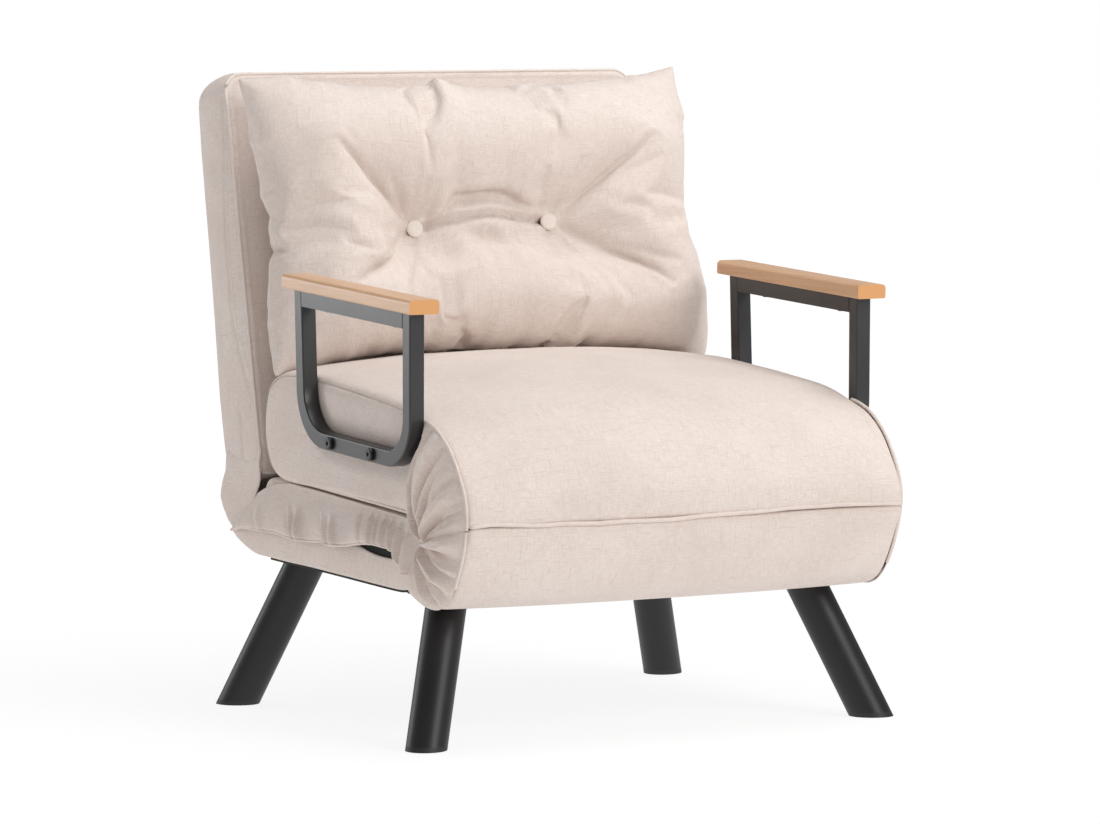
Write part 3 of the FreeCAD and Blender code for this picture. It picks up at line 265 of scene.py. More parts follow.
def newFinish(name):
    finish = bpy.data.materials.new(name)
    finish.use_nodes = True
    return finish, finish.node_tree, finish.node_tree.nodes["Principled BSDF"]


# Slubby plain weave: thin uneven threads both ways, a thicker one now and then, soft cloudiness
def linenFinish(name, tint, shade):
    look = {"thread": 1500, "run": 90, "slub": 520, "slubRun": 20, "cloud": 7}
    finish, tree, shader = newFinish(name)
    uv = tree.nodes.new("ShaderNodeUVMap")
    uv.uv_map = "cloth"
    spot = uv.outputs["UV"]
    warp = stretched(tree, spot, (look["thread"], look["run"], 1))
    weft = stretched(tree, spot, (look["run"], look["thread"], 1))
    threads = sums(tree, "ADD", warp, weft)
    slubWarp = spread(tree, stretched(tree, spot, (look["slub"], look["slubRun"], 1), 1.0), 0.60, 0.74)
    slubWeft = spread(tree, stretched(tree, spot, (look["slubRun"], look["slub"], 1), 1.0), 0.60, 0.74)
    slubs = sums(tree, "MAXIMUM", slubWarp, slubWeft)
    cloud = spread(tree, stretched(tree, spot, (look["cloud"], look["cloud"], 1), 3.0), 0.4, 0.66)
    dark = sums(tree, "ADD", spread(tree, threads, 1.25, 0.72), sums(tree, "MULTIPLY", slubs, 0.35))
    dark = sums(tree, "ADD", dark, sums(tree, "MULTIPLY", cloud, 0.3))
    amount = added(tree, "ShaderNodeClamp", {"Value": dark}).outputs[0]
    bumped(tree, shader, sums(tree, "ADD", threads, slubs), 0.0004, 0.55)
    fed(tree, shader, {
        "Base Color": colours(tree, tint, shade, amount),
        "Roughness": 0.92,
        "Specular IOR Level": 0.2,
        "Sheen Weight": 0.18,
        "Sheen Roughness": 0.45,
        "Sheen Tint": (1, 0.94, 0.88, 1),
    })
    return finish


# Powder coat, plating or plastic: a fine orange peel of the given speck and a faint patchiness
def powderFinish(name, low, high, roughness, speck, **more):
    finish, tree, shader = newFinish(name)
    spot = added(tree, "ShaderNodeTexCoord").outputs["Object"]
    peel = stretched(tree, spot, (speck, speck, speck), 3.0)
    patch = stretched(tree, spot, (14, 14, 14), 3.0)
    limits = {"To Min": roughness - 0.04, "To Max": roughness + 0.08, "Value": patch}
    rough = added(tree, "ShaderNodeMapRange", limits).outputs["Result"]
    colour = colours(tree, low, high, spread(tree, patch, 0.35, 0.7))
    bumped(tree, shader, peel, 0.00012, 0.5)
    fed(tree, shader, {"Base Color": colour, "Roughness": rough})
    for key, value in more.items():
        shader.inputs[{"specular": "Specular IOR Level",
                       "metallic": "Metallic"}[key]].default_value = value
    return finish


def beechFinish():
    look = {
        "plain": (0.74, 0.455, 0.262),
        "line": (0.60, 0.335, 0.17),
        "end": (0.70, 0.34, 0.125),
        "fleck": (0.42, 0.20, 0.09),
    }
    finish, tree, shader = newFinish("beechLacquer")
    place = added(tree, "ShaderNodeTexCoord")
    spot = place.outputs["Object"]
    bend = spread(tree, stretched(tree, spot, (26, 4, 26), 2.0), 0.35, 0.7)
    lines = stretched(tree, spot, (240, 9, 240), 4.0, 0.6)
    flecks = spread(tree, stretched(tree, spot, (1500, 130, 1500), 1.0), 0.66, 0.74)
    drawn = sums(tree, "MULTIPLY", spread(tree, lines, 0.38, 0.66), 0.6)
    plain = colours(tree, look["plain"], look["line"],
                    sums(tree, "ADD", drawn, sums(tree, "MULTIPLY", bend, 0.4)))
    facing = added(tree, "ShaderNodeSeparateXYZ", {0: place.outputs["Normal"]}).outputs["Y"]
    end = spread(tree, sums(tree, "ABSOLUTE", facing, 0), 0.8, 0.97)
    ended = colours(tree, plain, look["end"], end)
    bumped(tree, shader, lines, 0.0001, 0.4)
    fed(tree, shader, {
        "Base Color": colours(tree, ended, look["fleck"], sums(tree, "MULTIPLY", flecks, 0.45)),
        "Roughness": 0.36,
        "Coat Weight": 0.25,
        "Coat Roughness": 0.25,
    })
    return finish


def strapFinish(name, low, high, scale):
    finish, tree, shader = newFinish(name)
    spot = added(tree, "ShaderNodeTexCoord").outputs["Object"]
    weave = stretched(tree, spot, (scale, scale, scale), 2.0)
    colour = colours(tree, low, high, spread(tree, weave, 0.35, 0.65))
    bumped(tree, shader, weave, 0.0003, 0.5)
    fed(tree, shader, {"Base Color": colour, "Roughness": 0.95})
    return finish


linen = linenFinish("linenCream", (0.825, 0.735, 0.685), (0.685, 0.585, 0.53))
# A lighter copy of the linen for the piping and the buttons: painted highlight, not a different cloth
highlightLinen = linenFinish("linenWeltPaintedHighlight", (0.88, 0.80, 0.75), (0.76, 0.67, 0.61))
armPowder = powderFinish("charcoalPowder", (0.011, 0.011, 0.012), (0.017, 0.017, 0.019), 0.3, 900,
                         specular=0.7)
legPowder = powderFinish("blackPowder", (0.009, 0.0085, 0.009), (0.013, 0.012, 0.013), 0.42, 1300,
                         specular=0.42)
framePowder = powderFinish("framePowder", (0.02, 0.02, 0.021), (0.03, 0.03, 0.032), 0.45, 1000)
blackBolt = powderFinish("blackOxide", (0.03, 0.03, 0.032), (0.05, 0.05, 0.052), 0.3, 2000, metallic=0.7)
zinc = powderFinish("zincPlate", (0.42, 0.42, 0.41), (0.52, 0.52, 0.50), 0.35, 1600, metallic=0.9)
plastic = powderFinish("capPlastic", (0.012, 0.012, 0.012), (0.018, 0.018, 0.018), 0.55, 2200)
beech = beechFinish()
strapCloth = strapFinish("elasticStrap", (0.03, 0.028, 0.026), (0.08, 0.075, 0.07), 900)
dustCloth = strapFinish("dustCloth", (0.008, 0.008, 0.008), (0.022, 0.021, 0.02), 1500)


def finished(piece, finish):
    piece.data.materials.clear()
    piece.data.materials.append(finish)


# A new piece's finish, the body it rides on and the solids it stands in for
def dressed(piece, finish, body=None, replaced=()):
    finished(piece, finish)
    if body:
        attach(piece, body)
    if replaced:
        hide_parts(*replaced)


finishes = {
    "arm_frame": armPowder, "arm_bar": armPowder, "arm_wood": beech, "arm_bolts": blackBolt,
    "leg_bolts": blackBolt, "leg_front": legPowder, "leg_rear": legPowder, "leg_plates": legPowder,
    "foot_caps": plastic, "base_rail": framePowder, "base_bar": framePowder, "seat_rail": framePowder,
    "seat_bar": framePowder, "back_rail": framePowder, "back_bar": framePowder,
    "base_webbing": strapCloth, "seat_webbing": strapCloth, "back_webbing": strapCloth,
    "dust_cover": dustCloth,
}
for nodeName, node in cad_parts.items():
    found = [look for start, look in finishes.items() if nodeName.startswith(start)]
    finished(node, found[0] if found else zinc)
print("finishes made")


# ---- arm bolts with hexagon sockets, in place of the plain ones
def makeBolts():
    bolt = {
        "head": 0.0078, "high": 0.0046, "bevel": 0.0013, "shank": 0.0039, "reach": 0.046, "sunk": 0.0005,
        "socket": 0.0029, "deep": 0.003, "face": 0.322, "along": (0.208, 0.317), "level": 0.0685,
    }
    made = []

    def rod(sides, radius, length, place):
        turn = (0, math.copysign(math.pi / 2, place.x), 0)
        bpy.ops.mesh.primitive_cylinder_add(
            vertices=sides, radius=radius, depth=length, location=place, rotation=turn)
        return bpy.context.object

    for sign in (-1, 1):
        out = Vector((sign, 0, 0))
        for along in bolt["along"]:
            place = deck @ Vector((sign * bolt["face"], along, bolt["level"]))
            head = rod(56, bolt["head"], bolt["high"], place + out * bolt["high"] / 2)
            edge = head.modifiers.new("edge", "BEVEL")
            edge.width, edge.segments, edge.limit_method = bolt["bevel"], 3, "ANGLE"
            bpy.ops.object.modifier_apply(modifier="edge")
            cutter = rod(6, bolt["socket"], bolt["deep"] * 2, place + out * bolt["high"])
            inHand(head)
            cut = head.modifiers.new("socket", "BOOLEAN")
            cut.object, cut.operation, cut.solver = cutter, "DIFFERENCE", "EXACT"
            bpy.ops.object.modifier_apply(modifier="socket")
            bpy.data.objects.remove(cutter)
            shank = rod(32, bolt["shank"], bolt["reach"], place - out * (bolt["reach"] / 2 - bolt["sunk"]))
            made += [head, shank]
    inHand(made[0])
    for piece in made:
        piece.select_set(True)
    bpy.ops.object.join()
    bolts = bpy.context.object
    bolts.name = "armBolts"
    bpy.ops.object.transform_apply(location=True, rotation=True, scale=True)
    dressed(bolts, blackBolt, "seat", ["arm_bolts"])


makeBolts()
print("bolts made")


# ---- camera, floor and lamps
def makeCamera():
    shot = {
        "place": (-3.3117, -6.0226, 0.8819),
        "ahead": (0.48138, 0.8734, -0.07373),
        "up": (0.03994, 0.06217, 0.99727),
        "lens": 179.83,
    }
    ahead = Vector(shot["ahead"]).normalized()
    right = ahead.cross(Vector(shot["up"])).normalized()
    above = right.cross(ahead)
    bpy.ops.object.camera_add(location=shot["place"])
    camera = bpy.context.object
    camera.name = "photoCamera"
    camera.rotation_euler = Matrix((right, above, -ahead)).transposed().to_euler()
    camera.data.lens = shot["lens"]
    camera.data.sensor_width = 36
    bpy.context.scene.camera = camera


def makeStudio():
    light = {
        "world": 0.34, "warm": (1, 0.985, 0.97, 1), "white": (1, 1, 1, 1),
        "floor": (0.94, 0.94, 0.94, 1), "glow": 0.86, "glowStrength": 1.03, "near": 0.7, "far": 1.9,
    }
    world = bpy.data.worlds.new("studio")
    bpy.context.scene.world = world
    world.use_nodes = True
    tree = world.node_tree
    lit = fed(tree, tree.nodes["Background"], {"Color": light["warm"], "Strength": light["world"]})
    # Only the camera sees the plain white; everything else is lit by the dimmer world
    plain = added(tree, "ShaderNodeBackground", {"Color": light["white"], "Strength": 1.0})
    seen = added(tree, "ShaderNodeLightPath").outputs["Is Camera Ray"]
    pick = added(tree, "ShaderNodeMixShader", {0: seen, 1: lit.outputs[0], 2: plain.outputs[0]})
    fed(tree, tree.nodes["World Output"], {"Surface": pick.outputs[0]})
    lamps = {  # place, aim, width, power, colour
        "keyLamp": ((1.3, -4.1, 2.4), (0, 0, 0.45), 2.0, 92, (1, 0.985, 0.965)),
        "topLamp": ((0.5, -0.5, 3.4), (0, 0, 0.3), 2.0, 56, (0.965, 0.985, 1)),
        "edgeLamp": ((-1.9, 3.0, 0.9), (-0.3, 0, 0.4), 1.1, 16, (0.97, 0.98, 1)),
    }
    for name, (place, aim, width, power, colour) in lamps.items():
        bpy.ops.object.light_add(type="AREA", location=place)
        lamp = bpy.context.object
        lamp.name = name
        lamp.rotation_euler = (Vector(aim) - Vector(place)).to_track_quat("-Z", "Y").to_euler()
        lamp.data.size, lamp.data.energy, lamp.data.color = width, power, colour
    bpy.ops.mesh.primitive_plane_add(size=24, location=(0, 4, -0.0005))
    floor = bpy.context.object
    floor.name = "studioFloor"
    ground, tree, shader = newFinish("paleFloor")
    fed(tree, shader, {"Base Color": light["floor"], "Roughness": 0.9, "Specular IOR Level": 0.0})
    away = tree.nodes.new("ShaderNodeVectorMath")
    away.operation = "DISTANCE"
    chairPlace = (0, -4, 0)  # on the floor sheet
    fed(tree, away, {0: added(tree, "ShaderNodeTexCoord").outputs["Object"], 1: chairPlace})
    far = spread(tree, away.outputs["Value"], light["near"], light["far"])
    share = sums(tree, "ADD", sums(tree, "MULTIPLY", far, 1 - light["glow"]), light["glow"])
    glow = added(tree, "ShaderNodeEmission", {"Color": light["white"], "Strength": light["glowStrength"]})
    blend = added(tree, "ShaderNodeMixShader", {0: share, 1: shader.outputs[0], 2: glow.outputs[0]})
    fed(tree, tree.nodes["Material Output"], {"Surface": blend.outputs[0]})
    finished(floor, ground)


makeCamera()
makeStudio()
bpy.context.scene.view_settings.view_transform = "Standard"
print("camera, floor and lamps set")

# Middle line of the arm loop's lower part in the deck frame, which the seat's side bulges round
quarter = np.linspace(0, math.pi / 2, 20)
loopLine = np.concatenate([
    np.stack([np.linspace(123, 117.5, 20), np.linspace(228, 125, 20)], 1),
    np.stack([167 - 50 * np.cos(quarter), 118.5 - 50 * np.sin(quarter)], 1),
    np.stack([np.linspace(167, 334, 30), np.full(30, 68.5)], 1),
    np.stack([334 + 64 * np.sin(quarter), 132.5 - 64 * np.cos(quarter)], 1),
    np.stack([np.linspace(398, 413, 20), np.linspace(132.5, 228, 20)], 1),
])


def awayFromLoop(flat):
    return np.min(np.linalg.norm(flat[:, None, :] - loopLine[None, :, :], axis=2), axis=1)


# ---- wrapped cushions: cloth laid across from one side's outline over the middle's to the other side's
def wrapped(shape, side, middle):
    half, edge = shape["half"], shape["edge"]
    counts = stepsFor(middle, shape["spacing"])
    sideLoop, midLoop = through(side, counts), through(middle, counts)
    rim = [(half, edge), (half - 0.6, edge * 0.62), (half - 2.2, edge * 0.26), (half - 5, 0.4),
           (half - 9, 0)]
    flats = [(x, 0.0) for x in np.linspace(-half + 15, half - 15, shape["across"])]
    run = runLength(np.vstack([midLoop, midLoop[:1]]))
    for x, drawn in [(-x, drawn) for x, drawn in rim] + flats + rim[::-1]:
        share = max(0.0, 1 - abs(x / half) ** shape["crown"])
        loop = sideLoop + (midLoop - sideLoop) * share - outward(sideLoop) * drawn
        row = np.column_stack([np.full(len(loop), x), loop])
        yield row, np.column_stack([np.full(len(run), x), run]) / 1000, min(1, (half - abs(x)) / 30)


# Rings from a cushion's rim to the middle of its side; stand says how far out each of them lies
def sidePanel(end, centre, count, stand):
    rings, cloth = [], []
    for share in 1 - np.linspace(0, 1, count) ** 1.25:
        flat = centre + (end[:, 1:] - centre) * share
        deep = np.linalg.norm(end[:, 1:] - centre, axis=1) * (1 - share)
        rings.append(np.column_stack([stand(end[:, 0], flat, deep), flat]))
        cloth.append(np.vstack([flat, flat[:1]]) / 1000)
    return panel(rings, cloth, True)


# ---- seat section: one wrapped cushion with a rolled front and boxed sides
def makeSeat():
    shape = {
        "half": 300.0, "edge": 5.0, "across": 70, "spacing": 5.0, "crown": 2.3, "rings": 34,
        "sideBulge": 4.5, "shoulder": 14, "stitch": 1.2, "clear": 9,
    }
    side = [
        (-6, 7), (-6, 18), (1, 38), (20, 65), (43, 90), (74, 109), (113, 120), (164, 131), (240, 136),
        (324, 139), (448, 140), (506, 132), (537, 113), (548, 76), (544, 42), (527, 13), (500, 1),
        (400, 0.4), (250, 0.4), (60, 0.4), (24, 1.5), (4, 3.5),
    ]
    middle = [
        (-7, 7), (-9, 20), (-6, 44), (12, 80), (38, 108), (76, 129), (122, 142), (178, 151), (248, 157),
        (330, 160), (446, 160), (508, 149), (541, 122), (549, 80), (545, 43), (528, 13), (500, 1),
        (400, 0.4), (250, 0.4), (60, 0.4), (24, 1.5), (4, 3.5),
    ]
    places, weave = [], []
    for row, cloth, fade in wrapped(shape, side, middle):
        row[:, 2] += ease((row[:, 2] - 20) / 60) * sway(row, 85.0, 2.2) * fade
        row[:, 1] -= ease((60 - row[:, 1]) / 50) * sway(row, 60.0, 2.0, 7.0) * fade
        places.append(row)
        weave.append(cloth)

    def stand(across, flat, deep):
        free = ease((awayFromLoop(flat) - shape["clear"]) / 24)
        bulge = shape["sideBulge"] * (1 - np.exp(-deep / shape["shoulder"])) * free + ease(deep / 6)
        bulge -= shape["stitch"] * np.exp(-((deep - 2) / 2.5) ** 2)
        low = np.column_stack([np.full(len(flat), 3.0), flat])
        uneven = sway(low, 55.0, 1.6) + sway(low * [1, 1, 0.35], 24.0, 0.7, 3.0)
        return np.sign(across) * (shape["half"] + bulge + uneven * free * ease(deep / 15))

    centre = np.array([110.0, 30.0])
    panels = [panel(places, weave, True)]
    panels += [sidePanel(end, centre, shape["rings"], stand) for end in (places[0], places[-1])]
    seat = sewn("seatCushion", panels)
    dressed(seat, linen, "seat", ["seat_cushion", "bed_pad"])
    return seat


print("seat cushion made:", len(makeSeat().data.polygons), "faces")


# ---- base section: the mattress part under the seat, with its front roll curling under
def makeBase():
    shape = {
        "half": 296.5, "edge": 5.0, "across": 64, "spacing": 5.5, "crown": 2.6, "rings": 26,
        "rollHalf": 300,
    }
    rest = [
        (97, -74), (110, -69.3), (300, -69.3), (536, -69.3), (549, -61), (553, -40), (549, -13),
        (538, -3), (518, -1.4), (300, -1.4), (60, -1.4), (30, -0.8), (15, 0.8), (2, 3),
    ]
    side = [
        (-5, 5), (-6, -7), (3, -24), (11, -42), (20, -60), (36, -84), (56, -98), (76, -102), (90, -100),
        (96, -90),
    ] + rest
    middle = [
        (-6, 5), (-9, -8), (-9, -28), (-3, -48), (8, -68), (28, -90), (54, -102), (76, -105), (92, -102),
        (97, -90),
    ] + rest
    places, weave = [], []
    for row, cloth, fade in wrapped(shape, side, middle):
        front = row[:, 1].copy()
        row[:, 0] *= 1 + 0.012 * ease((150 - front) / 40)  # the roll is as wide as the seat's
        row[:, 1] -= ease((50 - front) / 40) * sway(row, 70.0, 2.2, 3.0) * fade
        places.append(row)
        weave.append(cloth * [1, -1])

    def stand(across, flat, deep):
        wider = (shape["rollHalf"] - shape["half"]) * ease((165 - flat[:, 0]) / 30)
        wide = np.sign(across) * (shape["half"] + wider + ease(deep / 8))
        return across + (wide - across) * ease(deep / 6)

    centre = np.array([105.0, -30.0])
    panels = [panel(places, weave, True)]
    panels += [sidePanel(end, centre, shape["rings"], stand) for end in (places[0], places[-1])]
    base = sewn("basePad", panels)
    dressed(base, linen, "base", ["base_pad"])
    return base


print("base pad made:", len(makeBase().data.polygons), "faces")


# ---- seam along the front, where seat and base are sewn together: a flat tuck with a crease under it
def makeFrontWelt():
    shape = {
        "half": 301.5, "height": 5.2, "level": 6.5, "stand": 1.6, "forward": -7.4, "wave": 3.0,
        "buried": 5.0,
    }
    xs = np.linspace(-shape["half"], shape["half"], 300)
    bare = np.column_stack([xs, xs * 0, xs * 0])
    end = 1 - np.abs(xs / shape["half"]) ** 8
    middle = 1 - np.abs(xs / 300) ** 2.3
    ys = shape["forward"] - 1.6 * middle + sway(bare, 50.0, 0.7) + 1.5 * (1 - end)
    zs = shape["level"] + shape["wave"] * np.sin(xs / 88.0 - 0.7) * end + sway(bare, 60.0, 2.0, 5.0)
    # Its section from above round the front: how far back, how high
    section = [
        (5.0, 1.0), (0.6, 0.95), (-0.7, 0.72), (-1.0, 0.4), (-1.15, 0.0), (-1.3, -0.5), (-0.8, -0.9),
        (0.9, -1.05), (5.0, -1.1),
    ]
    closing = ease((shape["half"] - np.abs(xs)) / 5)
    rows, cloth = [], []
    for behind, up in section:
        depth = shape["buried"] + (behind - shape["buried"]) * closing
        rows.append(np.column_stack([xs, ys + depth * shape["stand"],
                                     zs + up * closing * shape["height"] / 2]))
        cloth.append(np.column_stack([xs, np.full(len(xs), up * 3)]) / 1000)
    welt = sewn("frontWelt", [panel(rows, cloth)])
    dressed(welt, linen, "base")


makeFrontWelt()


# ---- gathered ends of the front roll: cloth drawn to a pinch behind it, which lets the seat turn over
def makeRollEnd(sign, name):
    shape = {
        "pinch": (107, -26), "columns": 330, "rows": 46, "stand": 301.0, "cut": 0.5, "centre": 0.03,
        "belly": 6.5, "swell": 1.7, "most": 17, "welt": 0.66,
    }
    rim = [
        (119, 121), (98, 117.5), (74, 110), (43, 90), (20, 64), (4, 37), (-1, 12), (2, -10), (6, -24),
        (13, -44), (21, -60), (36, -84), (56, -98), (78, -103), (104, -102), (128, -95), (147, -82),
    ]
    rimLine = evenly(rim, 3, shape["columns"])
    at = np.linspace(0, 1, shape["columns"])
    pinch = np.array(shape["pinch"], float)
    # Each fold: where along the rim, how high, how wide, how far its line bows
    folds = [
        (0.04, 8.0, 0.024, 17), (0.125, 8.0, 0.028, 15), (0.19, 4.0, 0.014, 11), (0.25, 5.0, 0.024, 8),
        (0.325, 7.5, 0.032, 4), (0.43, 3.0, 0.018, 0), (0.50, 7.0, 0.036, -3), (0.60, 3.0, 0.014, -6),
        (0.665, 6.5, 0.026, -8), (0.745, 3.5, 0.014, -7), (0.81, 6.5, 0.024, -5), (0.88, 3.5, 0.014, -3),
        (0.945, 6.0, 0.020, 0),
    ]
    across = rimLine - pinch
    reach = np.linalg.norm(across, axis=1)
    turned = np.column_stack([across[:, 1], -across[:, 0]]) / reach[:, None]
    bow = np.interp(at, [fold[0] for fold in folds], [fold[3] for fold in folds])

    def spot(out):
        return pinch + across * out[:, None] + turned * (bow * np.sin(np.pi * out))[:, None]

    def fan(out):
        flat = spot(out)
        height = np.zeros(len(at))
        for place, high, wide, _ in folds:
            wide = wide * (0.75 + 0.5 * out)
            valley = 0.6 * np.exp(-((at - place - 1.2 * wide) / (0.55 * wide)) ** 2)
            ridge = np.exp(-np.abs((at - place) / wide) ** 1.6) - valley
            height += high * (1 + 0.55 * np.sin(37 * place + 4.2 * out)) * ridge
        rise = np.clip(np.sin(np.pi * np.minimum(1, out ** 0.7)), 0, 1) ** 0.6
        belly = shape["belly"] * np.clip(np.sin(np.pi * out), 0, 1) ** 0.8
        free = ease((awayFromLoop(flat) - 10) / 8)
        lift = height * shape["swell"] * rise + belly + flatSway(flat, 16.0, 1.8) * rise
        stand = shape["stand"] + np.clip(lift, 0.0, 0.6 + shape["most"] * free)
        stand -= 2.5 * (1 - ease((out - shape["centre"]) / 0.12))
        return np.column_stack([sign * stand, flat]), flat / 1000 + np.array([0.3, 0.2])

    # Cut along the hinge plane: the upper part turns over with the seat, the lower stays with the base
    above = int(np.argmax(rimLine[:, 1] < 1.0))
    rise = rimLine[:above, 1] - pinch[1]
    first, last = np.full(shape["columns"], shape["centre"]), np.ones(shape["columns"])
    cut = last.copy()
    cut[:above] = np.clip((shape["cut"] - pinch[1]) / rise, 0, 1)
    for nearer in range(6):
        missed = spot(cut)[:above, 1] - shape["cut"]
        cut[:above] = np.clip(cut[:above] - missed / rise, shape["centre"], 1)
    rimPlace = np.column_stack([np.full(len(rimLine), sign * (shape["stand"] + 0.2)), rimLine])
    welted = int(shape["columns"] * shape["welt"])
    parts = {
        "Upper": (cut, last, slice(0, above), slice(0, above), "seat", "seatCushion"),
        "Lower": (first, cut, slice(0, shape["columns"]), slice(above, welted), "base", "basePad"),
    }
    for part, (inner, outer, kept, piping, body, support) in parts.items():
        rows = [fan(inner + (outer - inner) * share) for share in np.linspace(0, 1, shape["rows"])]
        cloth = panel([row[0][kept] for row in rows], [row[1][kept] for row in rows])
        welt = weltPanel(inRoom(rimPlace[piping], deck), 0.0017)
        end, area = hung(name + part, [cloth, welt], 0.0009, linen, body, weld=0.00005)


makeRollEnd(-1, "rollEndLeft")
makeRollEnd(1, "rollEndRight")
print("roll ends gathered")


# ---- side flaps: cloth hanging over the base's side, gathered at its front end, with an uneven hem
def makeFlap(sign, name):
    shape = {
        "columns": 360, "rows": 34, "top": 298.6, "belly": 13.5, "curl": 2.2, "start": 150,
        "length": 485,
    }
    topLine = [
        (104, -22), (117, -9), (160, -3), (214, -2), (351, -1), (440, -1), (478, -2), (520, -9),
        (549, -19), (575, -31), (600, -47), (618, -63), (631, -77),
    ]
    hemLine = [
        (101, -40), (113, -54), (128, -67), (141, -69), (150, -58), (158, -49), (176, -44), (205, -43),
        (230, -44), (275, -51), (305, -57), (335, -61), (362, -60), (390, -63), (420, -66), (452, -67),
        (490, -66), (524, -68), (560, -70), (587, -72), (610, -77), (629, -81),
    ]
    top, hem = [evenly(spots, 4, shape["columns"]) for spots in (topLine, hemLine)]
    at = (top[:, 0] - shape["start"]) / shape["length"]
    # Each fold: where along the flap, how high, how wide
    folds = [
        (-0.02, 4.0, 0.014), (0.03, 5.0, 0.012), (0.075, 4.4, 0.009), (0.115, 4.2, 0.010),
        (0.16, 2.6, 0.007), (0.19, 3.6, 0.009), (0.25, 2.0, 0.007), (0.41, 5.4, 0.020),
        (0.465, 3.0, 0.012), (0.61, 5.2, 0.022), (0.66, 2.4, 0.012), (0.84, 2.6, 0.02),
    ]
    places, weave = [], []
    for down in np.linspace(0, 1, shape["rows"]):
        flat = top + (hem - top) * down
        height = np.zeros(len(at))
        for spot, high, wide in folds:
            slant = at + 0.018 * down * (1 if spot > 0.35 else -0.6)
            valley = 0.7 * np.exp(-((slant - spot - 1.3 * wide) / (0.7 * wide)) ** 2)
            height += high * 1.5 * (np.exp(-((slant - spot) / wide) ** 2) - valley)
        belly = shape["belly"] * math.sin(math.pi / 2 * min(1, down * 1.08)) ** 1.1
        curl = shape["curl"] * ease((down - 0.93) / 0.07)
        grown = np.where(at < 0.3, ease((down - 0.1) / 0.35), ease((down - 0.3) / 0.5))
        lift = belly + height * grown + flatSway(flat, 38.0, 3.0 * down) - curl
        lift *= 0.35 + 0.65 * ease((at + 0.07) / 0.05) * ease((1.02 - at) / 0.1)
        flat[:, 1] += height * 0.25 * down
        places.append(np.column_stack([sign * (shape["top"] + np.maximum(lift, 0.5)), flat]))
        weave.append(flat / 1000)
    hemWelt = weltPanel(inRoom(places[-1] + np.array([sign * 0.3, 0, 0.4]), deck), 0.0013, sides=6)
    flap, area = hung(name, [panel(places, weave), hemWelt], 0.0012, linen, "base", weld=0.00005)
    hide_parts("side_flap_left" if sign < 0 else "side_flap_right")


makeFlap(-1, "sideFlapLeft")
makeFlap(1, "sideFlapRight")
print("side flaps made")


# ---- skirt: the cloth strip along the base's side, the black lining that shows at its edges, and a black patch in its opening: painted shade of the recess over the black frame
def makeSkirt(sign, name):
    shape = {
        "columns": 150, "rows": 14, "stand": 299.2, "belly": 2.6, "lined": 0.78, "gap": (152, 292),
        "shadePatchStand": 298.2,
    }
    topLine = [
        (148, -58), (161, -55), (190, -57), (212, -58), (248, -57), (275, -54), (400, -56), (520, -58),
        (600, -62), (628, -74),
    ]
    lowLine = [
        (142, -88), (160, -91), (171, -92), (366, -97), (518, -101.5), (566, -102), (600, -96),
        (621, -89), (630, -84),
    ]
    top, low = [evenly(spots, 5, shape["columns"]) for spots in (topLine, lowLine)]
    places, weave = [], []
    for down in np.linspace(0, 1, shape["rows"]):
        flat = top + (low - top) * down
        lift = shape["belly"] * math.sin(math.pi * (0.15 + 0.8 * down)) + flatSway(flat, 60.0, 1.3)
        places.append(np.column_stack([sign * (shape["stand"] + lift), flat]))
        weave.append(flat / 1000 + 0.15)
    skirt, area = hung(name, [panel(places, weave)], 0.0012, linen, "base")
    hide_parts("base_cover_left" if sign < 0 else "base_cover_right")

    lined = []
    for down in np.linspace(0, 16, 5):
        row = low[: int(shape["columns"] * shape["lined"])] + np.array([0, 13 - down])
        lined.append(np.column_stack([np.full(len(row), sign * (shape["stand"] - 0.4)), row]))
    lining = panel(lined, np.zeros((5, len(row), 2)))
    edge, area = hung(name + "Lining", [lining], 0.0008, dustCloth, "base")

    # Black sheet behind the opening above the rail: painted shade of the recess, where the black frame
    # also shows
    ys, zs = np.meshgrid(np.linspace(*shape["gap"], 24), np.linspace(-34, -66, 8))
    inner = np.stack([np.full(ys.shape, sign * shape["shadePatchStand"]), ys, zs], axis=-1)
    behind = panel(inner, np.zeros((8, 24, 2)))
    gap, area = hung(name + "ShadePatch", [behind], 0.0006, dustCloth, "base")


makeSkirt(-1, "skirtLeft")
makeSkirt(1, "skirtRight")


# ---- thin black cloth under the base
def makeDustSheet():
    shape = {"half": 292, "start": 172, "end": 594, "level": -98.2}
    xs, ys = np.linspace(-shape["half"], shape["half"], 60), np.linspace(shape["start"], shape["end"], 50)
    grid = np.stack(np.meshgrid(xs, ys), axis=-1)
    rows = np.concatenate([grid, np.full(grid.shape[:2] + (1,), float(shape["level"]))], axis=-1)
    inward = np.minimum(1 - np.abs(rows[:, :, 0]) / shape["half"], 1 - np.abs(rows[:, :, 1] - 349) / 249)
    raised, sag = 5.0 * ease((280 - rows[:, :, 1]) / 130), 2.0 * ease(inward * 3)
    rows[:, :, 2] += raised - sag
    dust, area = hung("dustSheet", [panel(rows, grid / 1000)], 0.0008, dustCloth, "base")
    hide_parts("dust_cover")


makeDustSheet()
